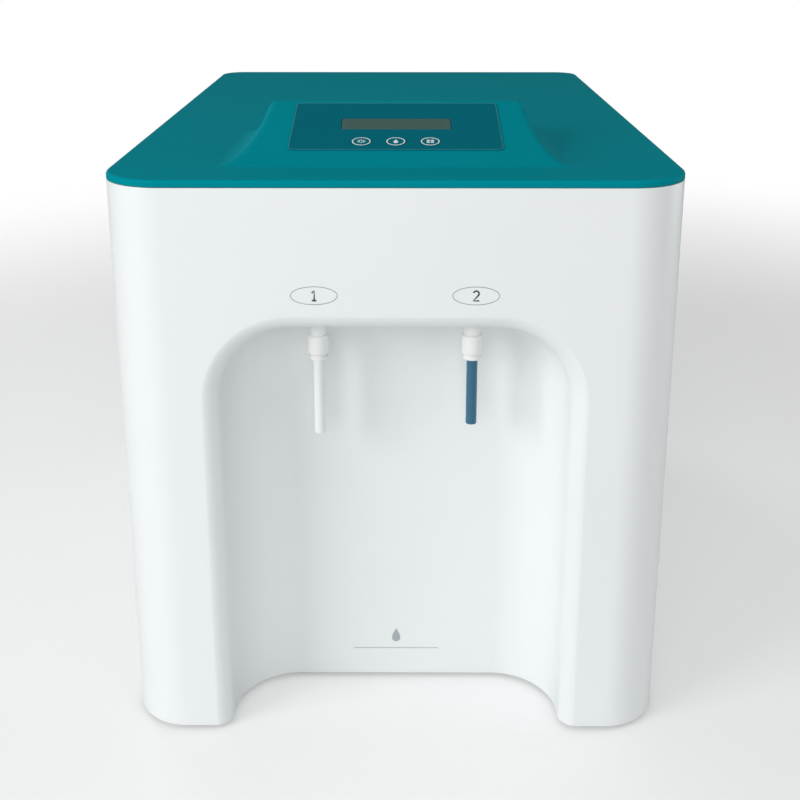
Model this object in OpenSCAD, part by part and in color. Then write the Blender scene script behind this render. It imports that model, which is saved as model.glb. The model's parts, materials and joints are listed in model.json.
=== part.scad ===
// Laboratory water purification system: a moulded cabinet with a dispense bay in its
// front, a lift-off lid that carries the control console, and the treatment train inside.
// The front looks along -Y, +Z is up, and the origin is the centre of the footprint.

/* [Cabinet] */
// Width of the cabinet
body_w = 320; // [312:1:360]
// Depth of the cabinet, without the rear fittings
body_d = 470; // [460:1:540]
// Height of the cabinet's top edge above the bench, with a bay that leaves room for the valves over it
seam_z = 336.6; // [331:0.2:360]
// Wall thickness of the moulded cabinet
wall = 3; // [2.5:0.1:4]
// Plan radius of the two front corners
front_r = 34; // [26:1:44]
// Plan radius of the two rear corners
rear_r = 18; // [17:1:30]
// Gap between the cabinet's lower edge and the bench
floor_gap = 3; // [2:0.5:6]
// Width of the ledge inside the top edge
ledge_w = 10; // [6:1:12]
// Thickness of that ledge
ledge_t = 3; // [2:0.5:5]

/* [Dispense bay] */
// Clear width of the bay
bay_w = 198; // [180:1:206]
// Depth of the bay behind the front face
bay_d = 52; // [50:1:60]
// Height of the bay's ceiling above the bench
bay_h = 256; // [244:1:280]
// Radius of the bay's two upper corners
bay_corner_r = 42; // [39:1:44]
// Radius that blends the bay's sides into its back
bay_blend_r = 38; // [20:1:38]
// Rounding of the bay's mouth
bay_mouth_r = 11; // [6:1:12]
// Wall thickness around the bay
bay_wall = 3.4; // [3.2:0.1:4.5]

/* [Lid] */
// Height of the lid's rim
rim_h = 3.8; // [3.6:0.2:6]
// Rounding of the lid's upper edge
lid_edge_r = 2; // [1:0.25:2.5]
// Thickness of the lid
lid_t = 2.6; // [2:0.2:3.4]
// Shadow gap between the lid and the cabinet
lid_gap = 0.4; // [0.3:0.1:1]
// Reach of the lid's locating skirt below the cabinet's top edge
skirt_h = 5; // [3:0.5:8]

/* [Console] */
// Width of the console at its highest edge
console_w = 162; // [156:1:170]
// Draft of the console's flanks, in degrees
console_draft = 2; // [1:0.5:5]
// Distance of the console's foot behind the front face
console_set = 33; // [24:1:44]
// Run of the sloping face
console_run = 100; // [96:1:120]
// Rise of the sloping face
console_rise = 24.5; // [18:0.5:30]
// Run of the console's back face
console_back = 12; // [8:1:24]
// Rounding of the console's highest edge
console_r = 6; // [4:1:10]
// Radius of the hollow that leads the flanks into the lid
flank_flare_r = 19; // [10:1:22]
// Radius of the hollow that leads the back into the lid
back_flare_r = 9; // [4:1:12]
// Wall thickness of the console
console_t = 2.5; // [2.1:0.2:2.9]

/* [Control panel] */
// Width of the printed film
film_w = 124; // [118:1:140]
// Height of the printed film along the slope
film_h = 70; // [66:1:71]
// Thickness of the film
film_t = 0.6; // [0.4:0.1:1]
// Corner radius of the film
film_r = 3; // [1:0.5:6]
// Distance of the film from the console's foot along the slope
film_set = 23; // [20:1:26]
// Width of the display window
display_w = 66; // [60:1:68]
// Height of the display window
display_h = 17; // [14:1:19]
// Height of the display's centre above the film's lower edge
display_up = 37.6; // [35:0.2:42]
// Diameter of a key
key_d = 11.6; // [10:0.2:13]
// Distance between keys
key_pitch = 20; // [17:0.5:24]
// Height of the keys' centres above the film's lower edge
key_up = 11.2; // [10:0.2:14]
// Travel of a key
key_travel = 0.5; // [0.3:0.1:0.8]

/* [Fittings] */
// Outside diameter of the water tube
tube_d = 6.35; // [6:0.05:6.5]
// Bore of the water tube
tube_bore = 4.3; // [3.5:0.1:4.5]
// Travel of a release collet
collet_travel = 1.2; // [0.8:0.1:1.3]
// Spacing of the two outlets
outlet_pitch = 88; // [76:1:96]
// Distance of the outlets behind the front face
outlet_set = 26; // [22:1:30]
// Radius of an outlet's barrel
outlet_r = 6.2; // [6:0.1:7.5]
// Length of an outlet's barrel below the bay's ceiling
outlet_len = 21; // [18:1:26]
// Free length of the first outlet's tube below its fitting
tube_1_len = 49; // [30:1:80]
// Free length of the second outlet's tube below its fitting
tube_2_len = 43; // [30:1:80]
// Radius of a rear port's barrel
port_r = 8; // [7:0.2:9]
// Reach of a rear port's barrel behind the panel
port_len = 15; // [15:0.5:18]
// Height of the rear ports above the bench
port_z = 34; // [34:1:40]
// Distance of the drain port from the filter rack
drain_set = 20; // [16:1:24]
// Distance of the tank port from the filter rack
tank_set = 60; // [56:1:62]

/* [Rear panel] */
// Thickness of the rear panel
panel_t = 1.5; // [1:0.1:2]
// Margin between the rear panel and the cabinet's outline
panel_margin = 14; // [12:1:20]
// Width of the seat that carries the rear panel
seat_w = 9; // [8:0.5:12]
// Rows of ventilation slots
vent_rows = 8; // [4:1:9]
// Distance of the mains inlet from the rear panel's side edge
inlet_set = 42; // [40:1:50]
// Height of the mains inlet above the bench
inlet_z = 66; // [62:1:80]
// Distance of the power switch from the mains inlet
switch_set = 48; // [44:1:54]

/* [Base] */
// Height of the rubber feet up to the base plate
foot_h = 8; // [7:0.5:12]
// Radius of a rubber foot
foot_r = 11; // [9:0.5:13]
// Distance of the feet's centres from the cabinet's sides
foot_set = 30; // [24:1:38]
// Thickness of the base plate
base_t = 1.5; // [1:0.1:2.5]

/* [Treatment train] */
// Radius of a cartridge
filter_r = 25; // [22:0.5:26]
// Length of a cartridge's body
filter_len = 215; // [190:1:220]
// Distance between cartridges in their row
filter_pitch = 58; // [56:1:60]
// Height of the cartridges' lower necks above the bench
filter_z = 54; // [53:1:58]
// Radius of the membrane housing
membrane_r = 28; // [24:0.5:30]
// Radius of the ultraviolet reactor
reactor_r = 25; // [20:0.5:27]
// Radius of the pump's motor
motor_r = 33; // [28:0.5:36]
// Length of the pump's motor
motor_len = 92; // [80:1:96]

/* [Hidden] */
$fn = 48;
// Clearance between pieces that are fitted by hand
fit_gap = 0.3;
// Radial clearance of a sliding or turning pair
slide_gap = 0.08;
// Overlap that makes a cut run clean through a face
over = 1;

shell_white = "#eef2f3";
lid_teal = "#00707c";
film_teal = "#005a68";
display_grey = "#565c60";
steel_grey = "#b9bec2";
fitting_white = "#f2f4f2";
tube_blue = "#3a7390";
rubber_black = "#26282a";
board_green = "#1f6b45";
plastic_black = "#1c1d1f";

// Push-fit socket shared by the outlets and the rear ports
socket_r = tube_d / 2 + slide_gap;
socket_len = 8;
pocket_r = 4.6;
pocket_len = 6.5;
collet_bore_r = tube_d / 2 + 0.22;
collet_sleeve = 5;
collet_out = collet_travel + 0.2;
collet_flange_t = 1.4;
collet_flange_r = 5.2;

rear_reach = port_len + collet_out + collet_flange_t;
y_f = -(body_d + rear_reach) / 2;
y_b = y_f + body_d;
// A bay taller than bay_room lifts the top edge, so that the valves over it keep clear of the lid
bay_room = 257;
edge_z = seam_z + max(0, bay_h - bay_room);
lid_z = edge_z + lid_gap;
lid_top = lid_z + rim_h;
rim_band = 12;
skirt_t = 2;
hollow_turn = 70;
hollow_steps = 12;
console_a = atan2(console_rise, console_run);
console_foot_x = console_w / 2 + console_rise * tan(console_draft);
frame_t = wall + panel_t;
inner_y_f = y_f + bay_d + bay_wall;
base_top = foot_h + base_t;
bay_top = bay_h + bay_wall;
boss_r = 5;
boss_room = 9;
boss_len = 24;
boss_rib = 3;
post_r = 4;

// Screws: shank radius and length, head radius and height
base_screw_r = 1.8;
base_screw_len = 12;
rear_screw_r = 1.7;
rear_screw_len = 8;
foot_screw_r = 2;
foot_well = 4;
screw_head_r = 3.6;
screw_head_h = 2.2;
panel_w = body_w - 2 * panel_margin;
panel_z = floor_gap + 7;
panel_h = edge_z - 9 - panel_z;
inlet_x = panel_w / 2 - inlet_set;
switch_x = inlet_x - switch_set;
foot_x = body_w / 2 - foot_set;

outlet_y = y_f + outlet_set;
outlet_seal_t = 1;
outlet_flange_t = 2;
outlet_stem_r = 5;
outlet_neck_r = 5;
barrel_h = 12;
barrel_edge_r = 1.8;
outlet_stem_len = 10;
outlet_flange_r = outlet_r + 1.8;
outlet_pad_r = outlet_flange_r + 4;
outlet_pad_h = 8;
outlet_end_z = bay_h - outlet_seal_t - outlet_len;
nut_t = 5;

port_stem_r = 7;
port_stem_len = 14;
port_inner_y = y_b - port_stem_len;

// Mains inlet and power switch
inlet_w = 27;
inlet_h = 20;
inlet_flange_t = 3;
inlet_depth = 16.5;
inlet_wall = 1.5;
inlet_ear = 11;
inlet_chamfer = 7;
pin_len = 11;
switch_w = 13;
switch_h = 21;
switch_depth = 16;
switch_flange_t = 2;
switch_well = 8;
rocker_w = 10;
rocker_half = 7.4;
rocker_pin_r = 1.4;
rocker_pin_z = -2;
rocker_tilt = 8;

// Ventilation slots
vent_w = 70;
vent_h = 4;
vent_pitch = 11;
vent_top = panel_z + panel_h - 30;

clip_t = 2;
clip_h = 12;
clip_stand = 5;
wall_room = 12;
filter_neck = 10;
filter_neck_r = 7;
filter_cap_r = filter_r + 2;
filter_x = -(body_w / 2 - wall - wall_room - filter_r);
filter_first_y = inner_y_f + 14 + filter_cap_r;
filter_top = filter_z + filter_len + 2 * filter_neck;
rack_t = 1.5;
rack_x = filter_x + filter_r + clip_stand;
drain_x = rack_x + drain_set;
tank_x = rack_x + tank_set;
rack_top = filter_top - 29;
rack_zs = [filter_z + 50, rack_top - 25];
membrane_x = rack_x + rack_t + clip_stand + membrane_r;
membrane_y = filter_first_y + 84;
membrane_port = 12;
membrane_cap_h = 26;
membrane_neck = 10;
reactor_x = rack_x + rack_t + clip_stand + reactor_r;
reactor_y = filter_first_y + 4;
reactor_top = filter_top;
reactor_cap_h = 22;

pump_room = 82;
pump_x = body_w / 2 - wall - pump_room;
pump_z = base_top + 46;
pump_y = inner_y_f + 38;
pump_head_y = pump_y + motor_len;
pump_head_w = 80;
pump_head_d = 50;
pump_port_x = 22;
pump_port_z = pump_z + pump_head_w / 2 + 12;
pump_port_y = pump_head_y + pump_head_d / 2;
pump_cap_t = 8;
grommet_h = 8;

valve_w = 24;
valve_l = 28;
valve_h = 22;
valve_stub = 9;
valve_reach = valve_l / 2 + valve_stub;
filter_end_y = filter_first_y + 4 * filter_pitch + filter_cap_r;
valve_y = (filter_end_y + port_inner_y) / 2;

bracket_z = bay_top + outlet_stem_len + 5;
bracket_t = 1.5;
bracket_x = outlet_pitch / 2 + 18;
dispense_z = bracket_z + bracket_t + valve_h / 2;

manifold_set = 99;
manifold_y = valve_y - manifold_set;
manifold_l = 30;
manifold_h = 24;
manifold_port = 12;

board_l = 150;
board_h = 106;
board_t = 1.6;
boss_h = 10;
board_x = body_w / 2 - wall - boss_h;
board_y = y_b - 200;
board_z = base_top + 112;
board_inset = 8;

supply_w = 92;
supply_h = 42;
supply_room = 20;
supply_rear_room = 46;
supply_x = body_w / 2 - wall - supply_room - supply_w;
supply_y = pump_head_y + pump_head_d + pump_cap_t + supply_room;
supply_l = y_b - supply_rear_room - supply_y;
supply_vent_pitch = 10;

panel_board_t = 1.6;
panel_board_w = 112;
panel_board_z = -15;
panel_boss_r = 3.2;
panel_boss_bore = 1.3;
panel_boss_hole = 8;
display_body_h = 6;
key_switch_h = 5;
key_flange_t = 1.2;
key_flange = 1.4;
key_proud = 0.2;
boss_x = 50;
boss_low = 5;
boss_high = film_h - 6;

// Rounded rectangle of the cabinet's outline, drawn in by inset
module plan(inset = 0) {
  fr = front_r - inset;
  rr = rear_r - inset;
  hw = body_w / 2 - inset;
  yf = y_f + inset;
  yb = y_b - inset;
  for (s = [-1, 1]) {
    translate([s * (hw - fr), yf + fr]) circle(r = fr);
    translate([s * (hw - rr), yb - rr]) circle(r = rr);
  }
  translate([-hw, yf + fr]) square([2 * hw, yb - rr - yf - fr]);
  translate([-(hw - fr), yf]) square([2 * (hw - fr), fr + over]);
  translate([-(hw - rr), yb - rr - over]) square([2 * (hw - rr), rr + over]);
}

// Sweep of a profile round the cabinet's outline; x = 0 lies on the outline, inside is negative
module plan_sweep() {
  hw = body_w / 2;
  side = y_b - rear_r - y_f - front_r;
  translate([hw - front_r, y_f + front_r]) rotate([0, 0, -90])
    rotate_extrude(angle = 90) translate([front_r, 0]) children();
  translate([hw - rear_r, y_b - rear_r])
    rotate_extrude(angle = 90) translate([rear_r, 0]) children();
  translate([-hw + rear_r, y_b - rear_r]) rotate([0, 0, 90])
    rotate_extrude(angle = 90) translate([rear_r, 0]) children();
  translate([-hw + front_r, y_f + front_r]) rotate([0, 0, 180])
    rotate_extrude(angle = 90) translate([front_r, 0]) children();
  translate([hw - front_r, y_f]) rotate([90, 0, -90])
    linear_extrude(2 * (hw - front_r)) children();
  translate([hw, y_b - rear_r]) rotate([90, 0, 0]) linear_extrude(side) children();
  translate([-hw + rear_r, y_b]) rotate([90, 0, 90])
    linear_extrude(2 * (hw - rear_r)) children();
  translate([-hw, y_f + front_r]) rotate([90, 0, 180]) linear_extrude(side) children();
}

module rounded_rect(w, h, r) {
  for (x = [-1, 1], y = [-1, 1]) translate([x * (w / 2 - r), y * (h / 2 - r)]) circle(r = r);
  square([w, h - 2 * r], center = true);
  square([w - 2 * r, h], center = true);
}

// Section of the bay's wall, from its middle outward and from the front face back
module bay_section(t) {
  blend = bay_blend_r + t;
  difference() {
    union() {
      translate([0, -over]) square([bay_corner_r + t, bay_d + t + over]);
      difference() {
        translate([0, -over]) square([bay_corner_r + bay_mouth_r, bay_mouth_r + over]);
        translate([bay_corner_r + bay_mouth_r, bay_mouth_r]) circle(r = bay_mouth_r - t);
      }
    }
    difference() {
      translate([bay_corner_r + t - blend, bay_d + t - blend]) square(blend + over);
      translate([bay_corner_r + t - blend, bay_d + t - blend]) circle(r = blend);
    }
  }
}

module bay_plan(t) {
  mid = bay_w / 2 - bay_corner_r;
  for (s = [0, 1]) mirror([s, 0]) translate([mid, y_f]) bay_section(t);
  translate([-mid, y_f - over]) square([2 * mid, bay_d + t + over]);
}

// Space of the dispense bay grown by t: two sides, two upper corners and the ceiling
module bay(t) {
  mid = bay_w / 2 - bay_corner_r;
  spring_z = bay_h - bay_corner_r;
  translate([0, 0, -over]) linear_extrude(spring_z + over) bay_plan(t);
  for (s = [0, 1]) mirror([s, 0, 0]) translate([mid, y_f, spring_z]) rotate([-90, -90, 0])
    rotate_extrude(angle = 90) bay_section(t);
  translate([mid, y_f, spring_z]) rotate([0, -90, 0]) linear_extrude(2 * mid) bay_section(t);
}

module cabinet_block() {
  translate([0, 0, floor_gap]) linear_extrude(edge_z - floor_gap) plan();
}

// Local frames: on the console's slope, and on the rear panel looking out
module on_console(up) {
  translate([0, y_f + console_set, lid_top]) rotate([console_a, 0, 0]) translate([0, up, 0]) children();
}

module on_rear(x, z) {
  translate([x, y_b, z]) rotate([90, 0, 180]) children();
}

function base_boss_places() = [for (s = [-1, 1], y = [y_f + 100, y_b - 60])
  [s * (body_w / 2 - wall - boss_room), y]];
function foot_places() = [for (s = [-1, 1], y = [y_f + 30, y_b - 36]) [s * foot_x, y]];
function bracket_places() = [for (s = [-1, 1], d = [18, bay_d - 8]) [s * 20, y_f + d]];
function board_places() = [
  for (y = [board_inset, board_l - board_inset], z = [board_inset, board_h - board_inset])
    [board_y + y, board_z + z]
];
function rear_screw_places() = [for (s = [-1, 1], k = [0, 0.5, 1])
  [s * (panel_w / 2 - seat_w / 2), panel_z + 10 + k * (panel_h - 20)]];

module body_shell() {
  color(shell_white) difference() {
    union() {
      difference() {
        cabinet_block();
        translate([0, 0, floor_gap - over]) linear_extrude(edge_z - floor_gap + 2 * over) plan(wall);
      }
      intersection() {
        cabinet_block();
        translate([-body_w / 2, y_b - frame_t, 0]) cube([body_w, frame_t, edge_z]);
      }
      translate([0, 0, edge_z - ledge_t]) linear_extrude(ledge_t) difference() {
        plan(wall / 2);
        plan(wall + ledge_w);
      }
      intersection() {
        cabinet_block();
        bay(bay_wall);
      }
      for (p = base_boss_places()) translate([p.x, p.y, base_top]) {
        cylinder(r = boss_r, h = boss_len);
        translate([p.x > 0 ? 0 : -boss_room - wall / 2, -boss_rib / 2, 0])
          cube([boss_room + wall / 2, boss_rib, boss_len]);
      }
      for (s = [-1, 1]) translate([s * outlet_pitch / 2, outlet_y, bay_h - outlet_pad_h])
        cylinder(r = outlet_pad_r, h = bay_wall + outlet_pad_h);
      for (p = bracket_places()) translate([p.x, p.y, bay_h - bay_blend_r])
        cylinder(r = post_r, h = bracket_z - bay_h + bay_blend_r);
      for (p = board_places()) translate([board_x, p.x, p.y]) rotate([0, 90, 0])
        cylinder(r = post_r, h = boss_h + wall / 2);
    }
    bay(0);
    translate([-panel_w / 2 + seat_w, y_b - frame_t - over, panel_z + seat_w])
      cube([panel_w - 2 * seat_w, frame_t + 2 * over, panel_h - 2 * seat_w]);
    translate([-panel_w / 2 - fit_gap, y_b - panel_t, panel_z - fit_gap])
      cube([panel_w + 2 * fit_gap, panel_t + over, panel_h + 2 * fit_gap]);
    for (s = [-1, 1]) translate([s * outlet_pitch / 2, outlet_y, 0]) {
      translate([0, 0, bay_h - over]) cylinder(r = outlet_stem_r + fit_gap, h = bay_wall + 2 * over);
      translate([0, 0, bay_h - outlet_pad_h]) cylinder(r = outlet_flange_r + 2 * fit_gap, h = outlet_pad_h);
    }
    for (p = base_boss_places()) translate([p.x, p.y, base_top - over])
      cylinder(r = base_screw_r + 0.2, h = base_screw_len + 2 * over);
    for (p = rear_screw_places()) on_rear(p.x, p.y) translate([0, 0, -frame_t - over])
      cylinder(r = rear_screw_r + 0.1, h = frame_t + 2 * over);
  }
}

module rear_panel() {
  slot = vent_w / 2 - vent_h / 2;
  color(shell_white) difference() {
    translate([-panel_w / 2, y_b - panel_t, panel_z]) cube([panel_w, panel_t, panel_h]);
    for (s = [-1, 1], i = [0 : vent_rows - 1]) on_rear(s * panel_w / 4, vent_top - i * vent_pitch)
      translate([0, 0, -panel_t - over]) linear_extrude(panel_t + 2 * over) {
        square([2 * slot, vent_h], center = true);
        for (e = [-1, 1]) translate([e * slot, 0]) circle(r = vent_h / 2);
      }
    for (x = [filter_x, drain_x, tank_x]) on_rear(x, port_z) translate([0, 0, -panel_t - over])
      cylinder(r = port_stem_r + fit_gap, h = panel_t + 2 * over);
    on_rear(inlet_x, inlet_z) translate([0, 0, -panel_t / 2])
      cube([inlet_w + 2 * fit_gap, inlet_h + 2 * fit_gap, 3 * panel_t], center = true);
    on_rear(switch_x, inlet_z) translate([0, 0, -panel_t / 2])
      cube([switch_w + 2 * fit_gap, switch_h + 2 * fit_gap, 3 * panel_t], center = true);
    for (p = rear_screw_places()) on_rear(p.x, p.y) translate([0, 0, -panel_t - over])
      cylinder(r = rear_screw_r + 0.2, h = panel_t + 2 * over);
  }
}

module base_plate() {
  color(steel_grey) difference() {
    translate([0, 0, foot_h]) linear_extrude(base_t) difference() {
      plan(frame_t + fit_gap);
      bay_plan(bay_wall + fit_gap);
    }
    for (p = concat(base_boss_places(), foot_places())) translate([p.x, p.y, foot_h - over])
      cylinder(r = foot_screw_r + 0.1, h = base_t + 2 * over);
  }
}

module rubber_feet() {
  color(rubber_black) for (p = foot_places()) translate([p.x, p.y, 0]) rotate_extrude() difference() {
    polygon([[0, 0], [foot_r - 2.5, 0], [foot_r - 1.2, 1], [foot_r, foot_h], [0, foot_h]]);
    translate([-over, -over]) square([screw_head_r + over + 1, foot_well + over]);
    square([foot_screw_r + 0.1, foot_h + over]);
  }
}

module pan_screw(head_r, head_h, shank_r, shank) {
  cylinder(r = head_r, h = head_h);
  translate([0, 0, -shank]) cylinder(r = shank_r, h = shank + head_h / 2);
}

module foot_screws() {
  color(steel_grey) for (p = foot_places()) translate([p.x, p.y, foot_well]) rotate([180, 0, 0])
    pan_screw(screw_head_r, screw_head_h, foot_screw_r, foot_h + base_t);
}

module base_screws() {
  color(steel_grey) for (p = base_boss_places()) translate([p.x, p.y, foot_h]) rotate([180, 0, 0])
    pan_screw(screw_head_r, screw_head_h, base_screw_r, base_screw_len);
}

module rear_screws() {
  color(steel_grey) for (p = rear_screw_places()) on_rear(p.x, p.y)
    pan_screw(screw_head_r, screw_head_h, rear_screw_r, rear_screw_len);
}

// Points of an arc round a centre, from one angle to another
function arc(centre, r, from, to, steps = 8) =
  [for (k = [0 : steps], a = from + (to - from) * k / steps) centre + r * [cos(a), sin(a)]];

// Hollow that leads a face down into the lid; the face leans back by lean and would meet the lid at foot.
// An inset draws the wall in, and there the hollow ends early and runs straight down through the lid.
function hollow(foot, r, lean, inset) =
  let (
    centre = [foot + r * tan((90 - lean) / 2), r],
    turn = inset > 0 ? hollow_turn : 90,
    curve = arc(centre, r + inset, 180 + lean, 180 + turn, hollow_steps)
  )
  concat(curve, [[curve[hollow_steps].x, -lid_t - over]]);

// Side of the console from its foot back, with the highest edge rounded
module console_side(inset) {
  back_a = atan2(console_rise, console_back);
  half = (180 - console_a - back_a) / 2;
  tip = console_r / sin(half);
  lean = (back_a - console_a) / 2;
  centre = [console_run + tip * sin(-lean), console_rise - tip * cos(lean)];
  ridge = arc(centre, console_r - inset, 90 + console_a, 90 - back_a);
  drop = lid_t + over;
  polygon(concat(
    [[ridge[0].x - (ridge[0].y + drop) / tan(console_a), -drop]], ridge,
    hollow(console_run + console_back, back_flare_r, 90 - back_a, inset)
  ));
}

// Cross-section of the console between its flanks
module console_section(inset) {
  top = 2 * console_rise;
  edge = [console_foot_x - top * tan(console_draft) - inset / cos(console_draft), top];
  right = concat([edge], hollow(console_foot_x, flank_flare_r, console_draft, inset));
  left = [for (k = [len(right) - 1 : -1 : 0]) [-right[k].x, right[k].y]];
  polygon(concat(right, left));
}

module console_form(inset) {
  translate([0, y_f + console_set, lid_top]) intersection() {
    translate([-body_w / 2, 0, 0]) rotate([90, 0, 90]) linear_extrude(body_w) console_side(inset);
    translate([0, body_d / 2, 0]) rotate([90, 0, 0]) linear_extrude(body_d) console_section(inset);
  }
}

module lid_section() {
  difference() {
    translate([-rim_band, 0]) square([rim_band, rim_h]);
    translate([-rim_band - over, -over]) square([rim_band - wall + over, rim_h - lid_t + over]);
    difference() {
      translate([-lid_edge_r, rim_h - lid_edge_r]) square(lid_edge_r + over);
      translate([-lid_edge_r, rim_h - lid_edge_r]) circle(r = lid_edge_r);
    }
  }
}

function panel_boss_places() = [for (s = [-1, 1], up = [boss_low, boss_high]) [s * boss_x, film_set + up]];

module lid() {
  skirt = wall + ledge_w + 2 * fit_gap;
  color(lid_teal) difference() {
    union() {
      translate([0, 0, lid_z]) plan_sweep() lid_section();
      translate([0, 0, lid_top - lid_t]) linear_extrude(lid_t) plan(rim_band - 2);
      translate([0, 0, edge_z - skirt_h]) linear_extrude(lid_top - lid_t / 2 - edge_z + skirt_h)
        difference() {
          plan(skirt);
          plan(skirt + skirt_t);
        }
      difference() {
        console_form(0);
        translate([-body_w / 2, y_f, lid_top - lid_t - 2 * over]) cube([body_w, body_d, 2 * over]);
      }
    }
    console_form(console_t);
    on_console(film_set + display_up) cube([display_w, display_h, 6 * console_t], center = true);
    for (k = [-1 : 1]) on_console(film_set + key_up) translate([k * key_pitch, 0, -3 * console_t])
      cylinder(r = key_d / 2 + fit_gap, h = 6 * console_t);
  }
  color(lid_teal) for (p = panel_boss_places()) on_console(p.y)
    translate([p.x, 0, panel_board_z + panel_board_t]) difference() {
      cylinder(r = panel_boss_r, h = -panel_board_z - panel_board_t - console_t / 2);
      translate([0, 0, -over]) cylinder(r = panel_boss_bore, h = panel_boss_hole);
    }
}

module control_film() {
  color(film_teal) on_console(film_set + film_h / 2) linear_extrude(film_t) difference() {
    rounded_rect(film_w, film_h, film_r);
    translate([0, display_up - film_h / 2]) square([display_w, display_h], center = true);
    for (k = [-1 : 1]) translate([k * key_pitch, key_up - film_h / 2]) circle(r = key_d / 2 + fit_gap);
  }
}

module display() {
  body_z = -console_t - fit_gap - display_body_h;
  color(display_grey) on_console(film_set + display_up) {
    translate([0, 0, body_z / 2 + fit_gap / 2])
      cube([display_w - 2 * fit_gap, display_h - 2 * fit_gap, -body_z + fit_gap], center = true);
    translate([0, 0, body_z + display_body_h / 2])
      cube([display_w + 5, display_h + 7, display_body_h], center = true);
    translate([0, 0, body_z - board_t / 2]) cube([display_w + 14, display_h + 18, board_t], center = true);
    for (s = [-1, 1]) translate([s * (display_w / 2 + 3), 0, panel_board_z + panel_board_t])
      cylinder(r = 2, h = body_z - panel_board_z - panel_board_t);
  }
}

module control_board() {
  color(board_green) on_console(film_set) difference() {
    union() {
      translate([-panel_board_w / 2, 0, panel_board_z]) cube([panel_board_w, film_h, panel_board_t]);
      for (k = [-1 : 1]) translate([k * key_pitch, key_up, panel_board_z]) {
        translate([-3, -3, 0]) cube([6, 6, panel_board_t + key_switch_h - 1.5]);
        cylinder(r = 1.75, h = panel_board_t + key_switch_h);
      }
      translate([-panel_board_w / 2 + 14, film_h - 12, panel_board_z - 6]) cube([30, 6, 7]);
    }
    for (s = [-1, 1], up = [boss_low, boss_high]) translate([s * boss_x, up, panel_board_z - over])
      cylinder(r = 1.6, h = panel_board_t + 2 * over);
  }
}

module board_screws() {
  color(steel_grey) for (p = panel_boss_places()) on_console(p.y) translate([p.x, 0, panel_board_z])
    rotate([180, 0, 0]) pan_screw(2.8, 1.6, 1.25, 8);
}

// Key cap that stands through the film, with a flange that keeps it in the console
module key_cap(k) {
  stem_end = panel_board_z + panel_board_t + key_switch_h + key_travel + 0.2;
  flange_z = -console_t - fit_gap - key_flange_t;
  color(film_teal) on_console(film_set + key_up) translate([k * key_pitch, 0, 0]) {
    translate([0, 0, flange_z]) cylinder(r = key_d / 2, h = film_t + key_proud - flange_z);
    translate([0, 0, flange_z]) cylinder(r = key_d / 2 + key_flange, h = key_flange_t);
    translate([0, 0, stem_end]) cylinder(r = 2, h = flange_z - stem_end + over);
  }
}

module key_1() {
  key_cap(-1);
}

module key_2() {
  key_cap(0);
}

module key_3() {
  key_cap(1);
}

// Bore of a push-fit end whose mouth is at z = 0 and looks along +Z
module push_fit_bore(through) {
  translate([0, 0, -pocket_len]) cylinder(r = pocket_r, h = pocket_len + over);
  translate([0, 0, -pocket_len - socket_len]) cylinder(r = socket_r, h = socket_len + over);
  translate([0, 0, -through]) cylinder(r = tube_bore / 2, h = through);
}

module collet() {
  color(fitting_white) difference() {
    union() {
      translate([0, 0, -collet_sleeve])
        cylinder(r = pocket_r - slide_gap, h = collet_sleeve + collet_out + over / 2);
      translate([0, 0, collet_out]) cylinder(r = collet_flange_r, h = collet_flange_t);
    }
    translate([0, 0, -collet_sleeve - over])
      cylinder(r = collet_bore_r, h = collet_sleeve + collet_out + collet_flange_t + 2 * over);
  }
}

module at_outlet(side, z) {
  translate([side * outlet_pitch / 2, outlet_y, z]) children();
}

// Outlet fitting: flange against the bay's ceiling, barrel below it and stem above
module outlet_body(side) {
  flange_z = bay_h - outlet_seal_t;
  stem_top = bay_top + outlet_stem_len;
  color(fitting_white) at_outlet(side, 0) difference() {
    union() {
      translate([0, 0, outlet_end_z]) rotate_extrude() polygon(concat(
        [[0, 0]], arc([outlet_r - barrel_edge_r, barrel_edge_r], barrel_edge_r, 270, 360, 4),
        arc([outlet_r - barrel_edge_r, barrel_h - barrel_edge_r], barrel_edge_r, 0, 90, 4),
        [[outlet_neck_r, barrel_h], [outlet_neck_r, outlet_len], [0, outlet_len]]
      ));
      translate([0, 0, flange_z - outlet_flange_t]) cylinder(r = outlet_flange_r, h = outlet_flange_t);
      translate([0, 0, flange_z - over]) cylinder(r = outlet_stem_r, h = stem_top - flange_z + over);
    }
    translate([0, 0, outlet_end_z]) rotate([180, 0, 0]) push_fit_bore(stem_top - outlet_end_z + over);
  }
}

module outlet_body_1() {
  outlet_body(-1);
}

module outlet_body_2() {
  outlet_body(1);
}

module outlet_seals() {
  color(rubber_black) for (s = [-1, 1]) at_outlet(s, bay_h - outlet_seal_t) difference() {
    cylinder(r = outlet_r + 1.4, h = outlet_seal_t);
    translate([0, 0, -over]) cylinder(r = outlet_stem_r + fit_gap, h = outlet_seal_t + 2 * over);
  }
}

module hex_nut(r, bore, t) {
  difference() {
    cylinder(r = r, h = t, $fn = 6);
    translate([0, 0, -over]) cylinder(r = bore + slide_gap, h = t + 2 * over);
  }
}

module outlet_nuts() {
  color(fitting_white) for (s = [-1, 1]) at_outlet(s, bay_top) hex_nut(9, outlet_stem_r, nut_t);
}

module outlet_collet_1() {
  at_outlet(-1, outlet_end_z) rotate([180, 0, 0]) collet();
}

module outlet_collet_2() {
  at_outlet(1, outlet_end_z) rotate([180, 0, 0]) collet();
}

module outlet_tube(side, free) {
  seat = pocket_len + socket_len;
  color(side < 0 ? fitting_white : tube_blue) at_outlet(side, outlet_end_z - free) difference() {
    cylinder(r = tube_d / 2, h = free + seat);
    translate([0, 0, -over]) cylinder(r = tube_bore / 2, h = free + seat + 2 * over);
  }
}

module outlet_tube_1() {
  outlet_tube(-1, tube_1_len);
}

module outlet_tube_2() {
  outlet_tube(1, tube_2_len);
}

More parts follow.
